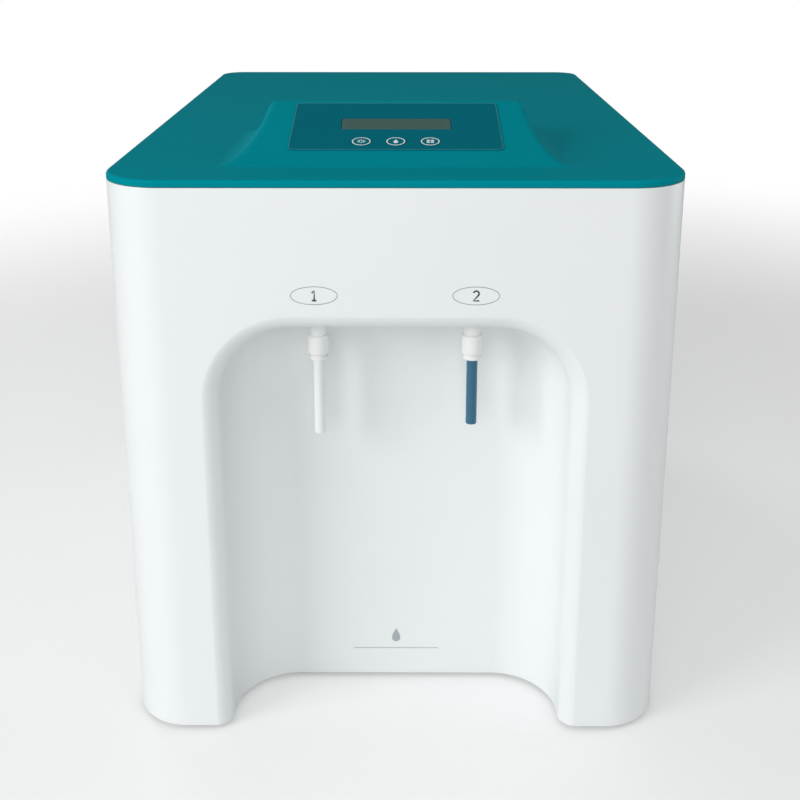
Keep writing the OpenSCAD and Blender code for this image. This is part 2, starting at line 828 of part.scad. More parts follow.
// Rear bulkhead fitting: flange on the panel, barrel outside and stem inside
module rear_port(x) {
  color(fitting_white) on_rear(x, port_z) difference() {
    union() {
      translate([0, 0, -port_stem_len]) cylinder(r = port_stem_r, h = port_stem_len + over);
      cylinder(r = port_r + 2.5, h = 3);
      rotate_extrude() difference() {
        square([port_r, port_len]);
        difference() {
          translate([port_r - 1.5, port_len - 1.5]) square(1.5 + over);
          translate([port_r - 1.5, port_len - 1.5]) circle(r = 1.5);
        }
      }
    }
    translate([0, 0, port_len]) push_fit_bore(port_len + port_stem_len + over);
  }
}

module feed_port() {
  rear_port(filter_x);
}

module drain_port() {
  rear_port(drain_x);
}

module tank_port() {
  rear_port(tank_x);
}

module port_nuts() {
  color(fitting_white) for (x = [filter_x, drain_x, tank_x]) on_rear(x, port_z)
    translate([0, 0, -panel_t - nut_t]) hex_nut(11, port_stem_r, nut_t);
}

module feed_collet() {
  on_rear(filter_x, port_z) translate([0, 0, port_len]) collet();
}

module drain_collet() {
  on_rear(drain_x, port_z) translate([0, 0, port_len]) collet();
}

module tank_collet() {
  on_rear(tank_x, port_z) translate([0, 0, port_len]) collet();
}

// Mains inlet of the usual three-pin size
module mains_inlet() {
  color(plastic_black) on_rear(inlet_x, inlet_z) difference() {
    union() {
      linear_extrude(inlet_flange_t) rounded_rect(inlet_w + 2 * inlet_ear, inlet_h + 5, 5);
      translate([0, 0, -inlet_depth]) linear_extrude(inlet_depth + over)
        square([inlet_w, inlet_h], center = true);
    }
    translate([0, 0, inlet_flange_t - inlet_depth]) linear_extrude(inlet_depth + over) difference() {
      square([inlet_w - 2 * inlet_wall, inlet_h - 2 * inlet_wall], center = true);
      for (s = [-1, 1]) translate([s * (inlet_w / 2 - inlet_wall), inlet_h / 2 - inlet_wall]) rotate(45)
        square(inlet_chamfer, center = true);
    }
    for (s = [-1, 1]) translate([s * (inlet_w + inlet_ear + 2) / 2, 0, -over])
      cylinder(r = 1.7, h = inlet_flange_t + 2 * over);
  }
}

module inlet_pins() {
  color(steel_grey) on_rear(inlet_x, inlet_z) for (p = [[-7, -2], [0, 2.5], [7, -2]])
    translate([p.x - 1, p.y - 2, inlet_flange_t - inlet_depth]) cube([2, 4, pin_len]);
}

// Power switch: a frame that holds the rocker on two pivot pins
module switch_frame() {
  color(plastic_black) on_rear(switch_x, inlet_z) difference() {
    union() {
      linear_extrude(switch_flange_t) rounded_rect(switch_w + 3, switch_h + 3, 1.5);
      translate([0, 0, -switch_depth]) linear_extrude(switch_depth + over)
        square([switch_w, switch_h], center = true);
    }
    translate([0, 0, -switch_well]) linear_extrude(switch_well + switch_flange_t + over)
      square([rocker_w + 2 * fit_gap, 2 * rocker_half + 2.4], center = true);
    translate([-rocker_w / 2 - 1.3, 0, rocker_pin_z]) rotate([0, 90, 0])
      cylinder(r = rocker_pin_r + slide_gap, h = rocker_w + 2.6);
  }
}

module power_rocker() {
  color(plastic_black) on_rear(switch_x, inlet_z) translate([0, 0, rocker_pin_z])
    rotate([rocker_tilt, 0, 0]) {
      translate([-rocker_w / 2, 0, 0]) rotate([90, 0, 90]) linear_extrude(rocker_w) polygon([
        [-rocker_half, 1], [-rocker_half, 5.2], [0, 3.9], [rocker_half, 5.2],
        [rocker_half, 1], [3.5, -4], [-3.5, -4]
      ]);
      translate([-rocker_w / 2 - 1, 0, 0]) rotate([0, 90, 0]) cylinder(r = rocker_pin_r, h = rocker_w + 2);
    }
}

function filter_y(i) = filter_first_y + i * filter_pitch;

// Upright plate that carries the clips, with a foot on the base plate
module filter_rack() {
  from_y = inner_y_f + 8;
  to_y = filter_y(4) + filter_cap_r + 4;
  color(steel_grey) difference() {
    union() {
      translate([rack_x, from_y, base_top]) cube([rack_t, to_y - from_y, rack_top - base_top]);
      translate([rack_x - 16, from_y, base_top]) cube([16 + over, to_y - from_y, rack_t]);
    }
    for (i = [0 : 3]) translate([rack_x - over, filter_y(i) + filter_pitch / 2 - 12, filter_z + 72])
      cube([rack_t + 2 * over, 24, 60]);
  }
}

// Spring clip round a vessel of radius r; the plate that carries it lies at x = reach
module clip(r, reach) {
  difference() {
    union() {
      cylinder(r = r + clip_t + 0.2, h = clip_h);
      translate([r / 2, -7, 0]) cube([reach - r / 2, 14, clip_h]);
    }
    translate([0, 0, -over]) cylinder(r = r + 0.2, h = clip_h + 2 * over);
    translate([-2 * r, -0.75 * r, -over]) cube([1.4 * r, 1.5 * r, clip_h + 2 * over]);
  }
}

module rack_clips() {
  color(fitting_white) for (z = rack_zs) {
    for (i = [0 : 4]) translate([filter_x, filter_y(i), z]) clip(filter_r, rack_x - filter_x);
    translate([membrane_x, membrane_y, z]) rotate(180) clip(membrane_r, membrane_x - rack_x - rack_t);
    translate([reactor_x, reactor_y, z]) rotate(180) clip(reactor_r, reactor_x - rack_x - rack_t);
  }
}

// Cartridge with a cap and a neck at each end
module cartridge(i, tint) {
  cap = 24;
  color(tint) translate([filter_x, filter_y(i), filter_z]) rotate_extrude() {
    square([filter_neck_r, filter_len + 2 * filter_neck]);
    translate([0, filter_neck]) square([filter_r, filter_len]);
    for (y = [filter_neck, filter_neck + filter_len - cap]) translate([0, y]) square([filter_cap_r, cap]);
  }
}

module sediment_filter() {
  cartridge(4, fitting_white);
}

module carbon_filter() {
  cartridge(3, fitting_white);
}

module block_filter() {
  cartridge(2, fitting_white);
}

module polish_filter_1() {
  cartridge(1, tube_blue);
}

module polish_filter_2() {
  cartridge(0, tube_blue);
}

module membrane_housing() {
  z = filter_z + membrane_neck;
  color(fitting_white) translate([membrane_x, membrane_y, 0]) {
    translate([0, 0, z]) cylinder(r = membrane_r, h = filter_top - membrane_neck - membrane_cap_h - z);
    for (s = [-1, 1]) translate([s * membrane_port, 0, filter_z]) cylinder(r = 5.5, h = membrane_neck + over);
  }
}

module membrane_cap() {
  color(fitting_white) translate([membrane_x, membrane_y, filter_top - membrane_neck - membrane_cap_h]) {
    difference() {
      cylinder(r = membrane_r + 3, h = membrane_cap_h);
      for (k = [0 : 11]) rotate(30 * k) translate([membrane_r + 4, 0, -over])
        cylinder(r = 2.5, h = membrane_cap_h + 2 * over);
    }
    cylinder(r = filter_neck_r, h = membrane_cap_h + membrane_neck);
  }
}

module reactor() {
  color(steel_grey) translate([reactor_x, reactor_y, filter_z + filter_neck + reactor_cap_h])
    cylinder(r = reactor_r, h = reactor_top - filter_z - 2 * filter_neck - 2 * reactor_cap_h);
}

module reactor_caps() {
  color(plastic_black) translate([reactor_x, reactor_y, 0]) {
    for (z = [filter_z + filter_neck, reactor_top - filter_neck - reactor_cap_h]) translate([0, 0, z])
      cylinder(r = reactor_r + 2, h = reactor_cap_h);
    translate([0, 0, filter_z]) cylinder(r = filter_neck_r, h = filter_neck + over);
    translate([0, 0, reactor_top - filter_neck - over]) cylinder(r = filter_neck_r, h = filter_neck + over);
  }
}

module pump_motor() {
  color(steel_grey) translate([pump_x, pump_y, pump_z]) rotate([-90, 0, 0]) rotate_extrude() {
    square([motor_r, motor_len]);
    translate([0, -6]) square([14, 8]);
  }
}

module pump_head() {
  color(plastic_black) {
    translate([pump_x, pump_head_y + pump_head_d, pump_z]) rotate([90, 0, 0]) linear_extrude(pump_head_d)
      rounded_rect(pump_head_w, pump_head_w, 12);
    translate([pump_x, pump_head_y + pump_head_d - over, pump_z]) rotate([-90, 0, 0])
      cylinder(r = 26, h = pump_cap_t + over);
    for (s = [-1, 1]) translate([pump_x + s * pump_port_x, pump_port_y, pump_z])
      cylinder(r = 6, h = pump_port_z - pump_z);
  }
}

function grommet_places() = [for (s = [-1, 1], y = [10, motor_len - 10]) [pump_x + s * 40, pump_y + y]];

module pump_bracket() {
  plate_z = base_top + grommet_h;
  color(steel_grey) difference() {
    union() {
      translate([pump_x - 50, pump_y, plate_z]) cube([100, motor_len - 1, 1.5]);
      for (y = [12, motor_len - 30]) translate([pump_x - 26, pump_y + y, plate_z])
        cube([52, 16, pump_z - plate_z - 14]);
    }
    translate([pump_x, pump_y - over, pump_z]) rotate([-90, 0, 0])
      cylinder(r = motor_r + 0.2, h = motor_len + 2 * over);
  }
}

module pump_grommets() {
  color(rubber_black) for (p = grommet_places()) translate([p.x, p.y, base_top]) rotate_extrude()
    difference() {
      square([8, grommet_h]);
      translate([9, grommet_h / 2]) circle(r = 2.5);
    }
}

// Solenoid valve round its port axis: block, coil and yoke
module valve_core() {
  translate([-valve_w / 2, -valve_l / 2, -valve_h / 2]) cube([valve_w, valve_l, valve_h]);
  translate([0, 0, valve_h / 2 - over]) cylinder(r = 9, h = 8 + over);
  translate([0, 0, valve_h / 2 + 3]) difference() {
    union() {
      cylinder(r = 11.5, h = 21);
      translate([-12.5, -8, -2]) cube([25, 16, 1.5]);
      translate([-12.5, -8, 21]) cube([25, 16, 1.5]);
    }
    translate([0, 0, 17]) cylinder(r = 3, h = 8);
  }
}

module valve_stubs(ends) {
  for (a = ends) rotate([-90, 0, a]) cylinder(r = 5.5, h = valve_reach);
}

module standing_valve(x) {
  translate([x, valve_y, port_z]) {
    valve_core();
    valve_stubs([0, 180]);
    translate([-8, -8, base_top - port_z]) cube([16, 16, port_z - base_top]);
  }
}

module inlet_valve() {
  color(plastic_black) standing_valve(filter_x);
}

module flush_valve() {
  color(plastic_black) standing_valve(drain_x);
}

// Dispense valve on its bracket: side inlet, outlet straight down to the fitting below
module dispense_valve(side, turn) {
  color(plastic_black) at_outlet(side, dispense_z) {
    valve_core();
    valve_stubs([turn]);
    translate([0, 0, -valve_h / 2 - 4]) cylinder(r = 5.5, h = 5);
  }
}

module dispense_valve_1() {
  dispense_valve(-1, 90);
}

module dispense_valve_2() {
  dispense_valve(1, 0);
}

module valve_bracket() {
  color(steel_grey) difference() {
    translate([-bracket_x, y_f + 11, bracket_z]) cube([2 * bracket_x, bay_d - 13, bracket_t]);
    for (s = [-1, 1]) at_outlet(s, bracket_z - over) cylinder(r = 7, h = bracket_t + 2 * over);
  }
}

// Block that shares the permeate out to the tank, the reactor and the second outlet
module manifold() {
  color(fitting_white) translate([tank_x, manifold_y, 0]) {
    translate([-20, -manifold_l / 2, base_top]) cube([40, manifold_l, port_z + manifold_h / 2 - base_top]);
    for (s = [-1, 1]) translate([s * manifold_port, 0, port_z]) rotate([90, 0, 0])
      cylinder(r = 5.5, h = manifold_l / 2 + valve_stub);
    translate([0, 0, port_z]) rotate([-90, 0, 0]) cylinder(r = 5.5, h = manifold_l / 2 + valve_stub);
    translate([8, 0, port_z]) cylinder(r = 5.5, h = manifold_h / 2 + valve_stub);
  }
}

module sensor_cell() {
  color(plastic_black) translate([tank_x - 10, manifold_y, port_z + manifold_h / 2]) {
    cylinder(r = 7, h = 6, $fn = 6);
    cylinder(r = 4.5, h = 20);
  }
}

module power_supply() {
  color(steel_grey) translate([supply_x, supply_y, base_top]) difference() {
    cube([supply_w, supply_l, supply_h]);
    for (y = [2 * supply_vent_pitch : supply_vent_pitch : supply_l - 2 * supply_vent_pitch])
      translate([supply_w / 8, y, supply_h - 1.5])
        cube([0.75 * supply_w, supply_vent_pitch * 0.4, 1.5 + over]);
  }
}

module main_board() {
  color(board_green) difference() {
    union() {
      translate([board_x - board_t, board_y, board_z]) cube([board_t, board_l, board_h]);
      for (i = [0 : 3]) translate([board_x - board_t - 15, board_y + 22 + i * 20, board_z + 20])
        cube([16, 15, 19]);
      translate([board_x - board_t - 10, board_y + 16, board_z + board_h - 22]) cube([11, 100, 9]);
      translate([board_x - board_t - 3, board_y + 104, board_z + 36]) cube([4, 22, 22]);
    }
    for (p = board_places()) translate([board_x - board_t - over, p.x, p.y]) rotate([0, 90, 0])
      cylinder(r = 1.6, h = board_t + 2 * over);
  }
}

// Half loop of tube between two neighbouring cartridge necks
module half_loop(i, z, turn) {
  translate([filter_x, filter_y(i) + filter_pitch / 2, z]) rotate([turn, 0, 0]) rotate([0, -90, 0])
    rotate([0, 0, -90]) rotate_extrude(angle = 180) translate([filter_pitch / 2, 0]) circle(r = tube_d / 2);
}

module filter_loops() {
  color(fitting_white) {
    half_loop(3, filter_top, 0);
    half_loop(2, filter_z, 180);
    half_loop(0, filter_z, 180);
  }
}

// Tube along a route: a smooth curve through the points, swept as one closed solid
hose_sides = 8;
hose_steps = 5;

function unit(v) = v / norm(v);
function curve(a, b, c, d, t) =
  (2 * b + (c - a) * t + (2 * a - 5 * b + 4 * c - d) * t * t + (3 * b - a - 3 * c + d) * t * t * t) / 2;
function route(p) = [
  for (i = [0 : len(p) - 2], j = [0 : hose_steps - 1])
    curve(p[max(i - 1, 0)], p[i], p[i + 1], p[min(i + 2, len(p) - 1)], j / hose_steps),
  p[len(p) - 1]
];
function headings(c, p) = [
  for (i = [0 : len(c) - 1])
    i == 0 ? unit(p[1] - p[0])
    : i == len(c) - 1 ? unit(p[len(p) - 1] - p[len(p) - 2])
    : unit(c[i + 1] - c[i - 1])
];
function square_to(n, t) = unit(n - t * (n * t));
function normals(t, n, i = 0) =
  i == len(t) ? [] : concat([square_to(n, t[i])], normals(t, square_to(n, t[i]), i + 1));

module hose(p) {
  c = route(p);
  t = headings(c, p);
  n = normals(t, [0.8, 0.5, 0.3]);
  m = hose_sides;
  last = len(c) - 1;
  polyhedron(
    points = [for (i = [0 : last], k = [0 : m - 1])
      c[i] + tube_d / 2 * (cos(360 * k / m) * n[i] + sin(360 * k / m) * cross(t[i], n[i]))],
    faces = concat(
      [[for (k = [0 : m - 1]) k]],
      [[for (k = [0 : m - 1]) last * m + m - 1 - k]],
      [for (i = [0 : last - 1], k = [0 : m - 1]) [i * m + k, (i + 1) * m + k, (i + 1) * m + (k + 1) % m]],
      [for (i = [0 : last - 1], k = [0 : m - 1]) [i * m + k, (i + 1) * m + (k + 1) % m, i * m + (k + 1) % m]]
    )
  );
}

module straight_hose(x, from_y, to_y) {
  translate([x, from_y, port_z]) rotate([-90, 0, 0]) cylinder(r = tube_d / 2, h = to_y - from_y);
}

manifold_front = manifold_y - manifold_l / 2 - valve_stub;
manifold_back = manifold_y + manifold_l / 2 + valve_stub;
lane_z = base_top + 12;
crown_z = filter_top + 28;

feed_route = [
  [filter_x, valve_y - valve_reach, port_z], [filter_x, filter_y(4) + 20, port_z],
  [filter_x, filter_y(4) + 6, port_z + 5], [filter_x, filter_y(4), filter_z - 7],
  [filter_x, filter_y(4), filter_z]
];
pump_feed_route = [
  [filter_x, filter_y(2), filter_top], [filter_x, filter_y(2), filter_top + 12],
  [filter_x + 35, filter_y(2) + 17, crown_z], [-10, filter_y(2) + 37, filter_top + 12],
  [70, filter_y(2) + 22, 220], [pump_x + pump_port_x, pump_port_y, 140],
  [pump_x + pump_port_x, pump_port_y, pump_port_z]
];
pump_out_route = [
  [pump_x - pump_port_x, pump_port_y, pump_port_z], [pump_x - pump_port_x, pump_port_y, pump_port_z + 20],
  [48, pump_port_y - 10, 200], [20, membrane_y + 8, filter_top - 2],
  [membrane_x + 28, membrane_y + 2, crown_z - 2], [membrane_x, membrane_y, filter_top + 14],
  [membrane_x, membrane_y, filter_top]
];
reject_route = [
  [membrane_x - membrane_port, membrane_y, filter_z], [membrane_x - membrane_port, membrane_y, filter_z - 12],
  [membrane_x - membrane_port, membrane_y + 18, lane_z + 3], [drain_x, membrane_y + 80, lane_z],
  [drain_x, valve_y - valve_reach - 34, port_z - 2], [drain_x, valve_y - valve_reach - 12, port_z],
  [drain_x, valve_y - valve_reach, port_z]
];
permeate_route = [
  [membrane_x + membrane_port, membrane_y, filter_z], [membrane_x + membrane_port, membrane_y, filter_z - 12],
  [membrane_x + membrane_port, membrane_y + 18, lane_z + 4],
  [tank_x - manifold_port, membrane_y + 60, lane_z + 6],
  [tank_x - manifold_port, manifold_front - 12, port_z], [tank_x - manifold_port, manifold_front, port_z]
];
reactor_feed_route = [
  [tank_x + manifold_port, manifold_front, port_z], [tank_x + manifold_port, manifold_front - 12, port_z],
  [tank_x + manifold_port, manifold_front - 60, lane_z], [tank_x + 6, reactor_y + 50, lane_z - 2],
  [reactor_x + 8, reactor_y + 14, lane_z + 4], [reactor_x, reactor_y, filter_z - 12],
  [reactor_x, reactor_y, filter_z]
];
polish_route = [
  [reactor_x, reactor_y, reactor_top], [reactor_x, reactor_y, reactor_top + 12],
  [(reactor_x + filter_x) / 2, (reactor_y + filter_y(1)) / 2, crown_z + 4],
  [filter_x, filter_y(1), filter_top + 12], [filter_x, filter_y(1), filter_top]
];
pure_route = [
  [filter_x, filter_y(0), filter_top], [filter_x, filter_y(0), filter_top + 10],
  [filter_x, filter_y(0) - 24, filter_top + 24], [filter_x + 16, outlet_y + 12, dispense_z + 8],
  [-outlet_pitch / 2 - valve_reach - 14, outlet_y, dispense_z],
  [-outlet_pitch / 2 - valve_reach, outlet_y, dispense_z]
];
rinse_route = [
  [tank_x + 8, manifold_y, port_z + manifold_h / 2 + valve_stub],
  [tank_x + 8, manifold_y, port_z + manifold_h / 2 + valve_stub + 20],
  [-12, manifold_y - 20, 140], [2, manifold_y - 80, 200], [14, manifold_y - 140, 250],
  [36, outlet_y + 76, dispense_z - 12], [outlet_pitch / 2, outlet_y + valve_reach + 14, dispense_z],
  [outlet_pitch / 2, outlet_y + valve_reach, dispense_z]
];

module hoses() {
  color(fitting_white) {
    for (x = [filter_x, drain_x]) straight_hose(x, valve_y + valve_reach, port_inner_y);
    straight_hose(tank_x, manifold_back, port_inner_y);
    for (s = [-1, 1]) at_outlet(s, bay_top + outlet_stem_len)
      cylinder(r = tube_d / 2, h = dispense_z - valve_h / 2 - 4 - bay_top - outlet_stem_len);
    for (p = [feed_route, pump_feed_route, pump_out_route, reject_route, permeate_route,
      reactor_feed_route, polish_route, pure_route, rinse_route]) hose(p);
  }
}

body_shell();
rear_panel();
base_plate();
rubber_feet();
foot_screws();
base_screws();
rear_screws();
lid();
control_film();
display();
control_board();
board_screws();
key_1();
key_2();
key_3();
outlet_body_1();
outlet_body_2();
outlet_seals();
outlet_nuts();
outlet_collet_1();
outlet_collet_2();
outlet_tube_1();
outlet_tube_2();
feed_port();
drain_port();
tank_port();
port_nuts();
feed_collet();
drain_collet();
tank_collet();
mains_inlet();
inlet_pins();
switch_frame();
power_rocker();
filter_rack();
rack_clips();
sediment_filter();
carbon_filter();
block_filter();
polish_filter_1();
polish_filter_2();
membrane_housing();
membrane_cap();
reactor();
reactor_caps();
pump_motor();
pump_head();
pump_bracket();
pump_grommets();
inlet_valve();
flush_valve();
dispense_valve_1();
dispense_valve_2();
valve_bracket();
manifold();
sensor_cell();
power_supply();
main_board();
filter_loops();
hoses();
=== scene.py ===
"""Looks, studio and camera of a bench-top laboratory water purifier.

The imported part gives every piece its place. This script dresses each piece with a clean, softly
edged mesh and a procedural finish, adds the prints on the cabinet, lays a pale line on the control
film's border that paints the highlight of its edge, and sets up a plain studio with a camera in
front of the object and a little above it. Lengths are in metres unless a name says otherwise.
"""

from __future__ import annotations

import json
import logging
import math
from collections.abc import Callable
from dataclasses import dataclass, field
from enum import Enum
from functools import cache
from typing import Any

import bmesh
import bpy
from mathutils import Matrix, Vector
from mathutils.bvhtree import BVHTree

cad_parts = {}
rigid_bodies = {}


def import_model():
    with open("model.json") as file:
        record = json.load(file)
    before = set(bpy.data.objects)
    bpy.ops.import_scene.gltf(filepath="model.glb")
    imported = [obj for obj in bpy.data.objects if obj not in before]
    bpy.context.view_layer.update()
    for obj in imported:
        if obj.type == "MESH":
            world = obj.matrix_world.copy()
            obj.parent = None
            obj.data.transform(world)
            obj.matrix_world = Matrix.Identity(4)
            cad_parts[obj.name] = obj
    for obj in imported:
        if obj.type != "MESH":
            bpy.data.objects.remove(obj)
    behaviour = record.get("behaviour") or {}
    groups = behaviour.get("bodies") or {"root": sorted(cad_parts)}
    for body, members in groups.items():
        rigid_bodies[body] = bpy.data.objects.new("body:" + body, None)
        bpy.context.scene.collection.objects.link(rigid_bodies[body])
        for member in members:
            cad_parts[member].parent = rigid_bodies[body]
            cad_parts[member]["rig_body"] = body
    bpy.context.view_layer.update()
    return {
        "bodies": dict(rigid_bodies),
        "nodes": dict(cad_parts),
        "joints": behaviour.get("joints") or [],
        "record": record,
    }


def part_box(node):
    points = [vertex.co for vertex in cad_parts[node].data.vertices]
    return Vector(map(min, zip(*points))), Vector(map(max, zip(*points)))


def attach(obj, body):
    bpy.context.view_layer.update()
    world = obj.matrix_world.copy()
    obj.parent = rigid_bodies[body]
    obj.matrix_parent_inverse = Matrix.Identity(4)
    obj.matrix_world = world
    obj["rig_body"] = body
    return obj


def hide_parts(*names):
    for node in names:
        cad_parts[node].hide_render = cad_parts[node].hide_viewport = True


LOG = logging.getLogger("water_purifier")
Outline = list[tuple[float, float]]
RIGHT = Vector((1.0, 0.0, 0.0))
UP = Vector((0.0, 0.0, 1.0))
FRONT = Vector((0.0, -1.0, 0.0))
REAR = Vector((0.0, 1.0, 0.0))
WHITE = (1.0, 1.0, 1.0, 1.0)

# Corners within FLAT of a plane lie in it, and corners within MERGE of each other are one.
FLAT = 2e-5
MERGE = 2e-6
# Faces whose angle is smaller become one face.
DISSOLVE_DEGREES = 0.4
# Soft edges: their segments, and how much sharper than the shading's limit a corner has to be.
EDGE_SEGMENTS = 2
EDGE_MARGIN_DEGREES = 6.0

# The slow drift of a finish, its grain, the depth of that grain and how it is stretched.
CLOUD_SCALE = 9.0
CLOUD_DETAIL = 3.0
GRAIN_DETAIL = 2.0
GRAIN_DEPTH = 0.0004
EVEN_STRETCH = (1.0, 1.0, 1.0)
BRUSHED_STRETCH = (1.0, 1.0, 0.03)

# A screw head's sides, its top radius and the length of its slots, the last two in radii.
HEAD_SIDES = 32
HEAD_TAPER = 0.84
SLOT_LENGTH = 1.15

# Strokes of the number 1 in half heights. The 2 has a bow, in heights, and a foot, in bows.
ONE: list[Outline] = [[(-0.4, 0.55), (0.06, 1.0), (0.06, -1.0)], [(-0.42, -1.0), (0.5, -1.0)]]
BOW = 0.27
BOW_START_DEGREES = 165.0
BOW_TURN_DEGREES = 205.0
FOOT = 1.1
# A drop's girth in heights and how slender its point is.
DROP_GIRTH = 0.3844
DROP_POINT = 1.3


def linear(colour: str) -> tuple[float, float, float, float]:
    """Turns a written colour into the linear numbers that a shader takes, by the curve of sRGB.

    Args:
        colour: Six hexadecimal digits, red first.

    Returns:
        Red, green, blue and a full alpha.
    """
    parts = [int(colour[k : k + 2], 16) / 255 for k in (0, 2, 4)]
    red, green, blue = (c / 12.92 if c <= 0.04045 else ((c + 0.055) / 1.055) ** 2.4 for c in parts)
    return red, green, blue, 1.0


def feed(tree: bpy.types.NodeTree, node: bpy.types.Node, inputs: dict[Any, Any]) -> None:
    """Links or sets the inputs of a node.

    Args:
        tree: The tree that holds the node.
        node: The node.
        inputs: For each input's name or number, its value, or the socket or list of sockets that
            feeds it.
    """
    for key, given in inputs.items():
        for value in given if isinstance(given, list) else [given]:
            if isinstance(value, bpy.types.NodeSocket):
                tree.links.new(value, node.inputs[key])
            else:
                node.inputs[key].default_value = value


def add_node(
    tree: bpy.types.NodeTree, kind: str, inputs: dict[Any, Any] | None = None, **settings: Any
) -> bpy.types.Node:
    """Adds a node to a tree.

    Args:
        tree: The tree.
        kind: Type of the node.
        inputs: Its inputs, as they are fed.
        **settings: Its properties.

    Returns:
        The new node.
    """
    node = tree.nodes.new(kind)
    for key, value in settings.items():
        setattr(node, key, value)
    feed(tree, node, inputs or {})
    return node


def add_object(name: str, data: bpy.types.ID) -> bpy.types.Object:
    """Adds an object to the scene.

    Args:
        name: Its name.
        data: Its mesh, lamp or lens.

    Returns:
        The object.
    """
    made = bpy.data.objects.new(name, data)
    bpy.context.scene.collection.objects.link(made)
    return made


def settle(holder: bpy.types.Object) -> bpy.types.Mesh:
    """Takes an object away and keeps its mesh as its modifiers leave it.

    Args:
        holder: The object.

    Returns:
        The mesh.
    """
    graph = bpy.context.evaluated_depsgraph_get()
    mesh = bpy.data.meshes.new_from_object(holder.evaluated_get(graph), depsgraph=graph)
    bpy.data.objects.remove(holder)
    return mesh


class Surface(Enum):
    """Kinds of surface that a finish can have."""

    PLAIN = "plain"
    MOULDED = "moulded"
    BRUSHED = "brushed"


@cache
def surface_group(surface: Surface) -> bpy.types.NodeTree:
    """Builds the shader group that the finishes with a kind of surface share.

    Args:
        surface: The kind of surface.

    Returns:
        A group that drifts a colour and a roughness and gives a fine grain as a height.
    """
    stretch = BRUSHED_STRETCH if surface is Surface.BRUSHED else EVEN_STRETCH
    tree = bpy.data.node_groups.new(surface.value.capitalize() + " surface", "ShaderNodeTree")
    sockets = {
        "INPUT": ("Vector", "Colour", "Drift", "Roughness", "Spread", "Grain"),
        "OUTPUT": ("Colour", "Roughness", "Height"),
    }
    kinds = {"Vector": "NodeSocketVector", "Colour": "NodeSocketColor"}
    for way, labels in sockets.items():
        for label in labels:
            kind = kinds.get(label, "NodeSocketFloat")
            tree.interface.new_socket(label, in_out=way, socket_type=kind)
    given = add_node(tree, "NodeGroupInput").outputs
    maths, vectors, noise = "ShaderNodeMath", "ShaderNodeVectorMath", "ShaderNodeTexNoise"
    slow = {"Vector": given["Vector"], "Scale": CLOUD_SCALE, "Detail": CLOUD_DETAIL}
    cloud = add_node(tree, noise, slow).outputs["Fac"]
    rest = add_node(tree, maths, {0: 1.0, 1: given["Drift"]}, operation="SUBTRACT").outputs[0]
    darker = {0: cloud, 1: given["Drift"], 2: rest}
    shade = add_node(tree, maths, darker, operation="MULTIPLY_ADD").outputs[0]
    tint = add_node(tree, vectors, {0: given["Colour"], "Scale": shade}, operation="SCALE").outputs[0]
    rougher = {0: cloud, 1: given["Spread"], 2: given["Roughness"]}
    rough = add_node(tree, maths, rougher, operation="MULTIPLY_ADD").outputs[0]
    scaled = add_node(tree, vectors, {0: given["Vector"], 1: stretch}, operation="MULTIPLY").outputs[0]
    fine = {"Vector": scaled, "Scale": given["Grain"], "Detail": GRAIN_DETAIL}
    grain = add_node(tree, noise, fine).outputs["Fac"]
    add_node(tree, "NodeGroupOutput", {"Colour": tint, "Roughness": rough, "Height": grain})
    return tree


@dataclass(frozen=True)
class Finish:
    """A procedural finish.

    Attributes:
        name: Name of the material.
        colour: Base colour as six hexadecimal digits.
        roughness: Lowest roughness of the surface.
        metallic: 1 for bare metal.
        specular: Level of the plain reflection.
        surface: Kind of surface, which picks the shared shader group.
        drift: How far the colour darkens in places.
        spread: How far the roughness rises in places.
        grain: Fineness of the grain, in features per metre.
        relief: Strength of the grain as a bump.
    """

    name: str
    colour: str
    roughness: float = 0.4
    metallic: float = 0.0
    specular: float = 0.5
    surface: Surface = Surface.MOULDED
    drift: float = 0.03
    spread: float = 0.06
    grain: float = 1400.0
    relief: float = 0.03

    @cache
    def material(self) -> bpy.types.Material:
        """Builds the material, once for each finish.

        Returns:
            A material with one Principled BSDF.
        """
        material = bpy.data.materials.new(self.name)
        material.use_nodes = True
        material.diffuse_color = linear(self.colour)
        tree = material.node_tree
        looks: dict[str, Any] = {
            "Base Color": linear(self.colour),
            "Roughness": self.roughness,
            "Metallic": self.metallic,
            "Specular IOR Level": self.specular,
        }
        feed(tree, tree.nodes["Principled BSDF"], looks)
        if self.surface is Surface.PLAIN:
            return material
        inputs = {
            "Vector": add_node(tree, "ShaderNodeTexCoord").outputs["Object"],
            "Colour": linear(self.colour),
            "Drift": self.drift,
            "Roughness": self.roughness,
            "Spread": self.spread,
            "Grain": self.grain,
        }
        group = add_node(tree, "ShaderNodeGroup", inputs, node_tree=surface_group(self.surface))
        grain = {"Height": group.outputs["Height"], "Strength": self.relief, "Distance": GRAIN_DEPTH}
        bump = add_node(tree, "ShaderNodeBump", grain)
        drifting = {
            "Base Color": group.outputs["Colour"],
            "Roughness": group.outputs["Roughness"],
            "Normal": bump.outputs["Normal"],
        }
        feed(tree, tree.nodes["Principled BSDF"], drifting)
        return material


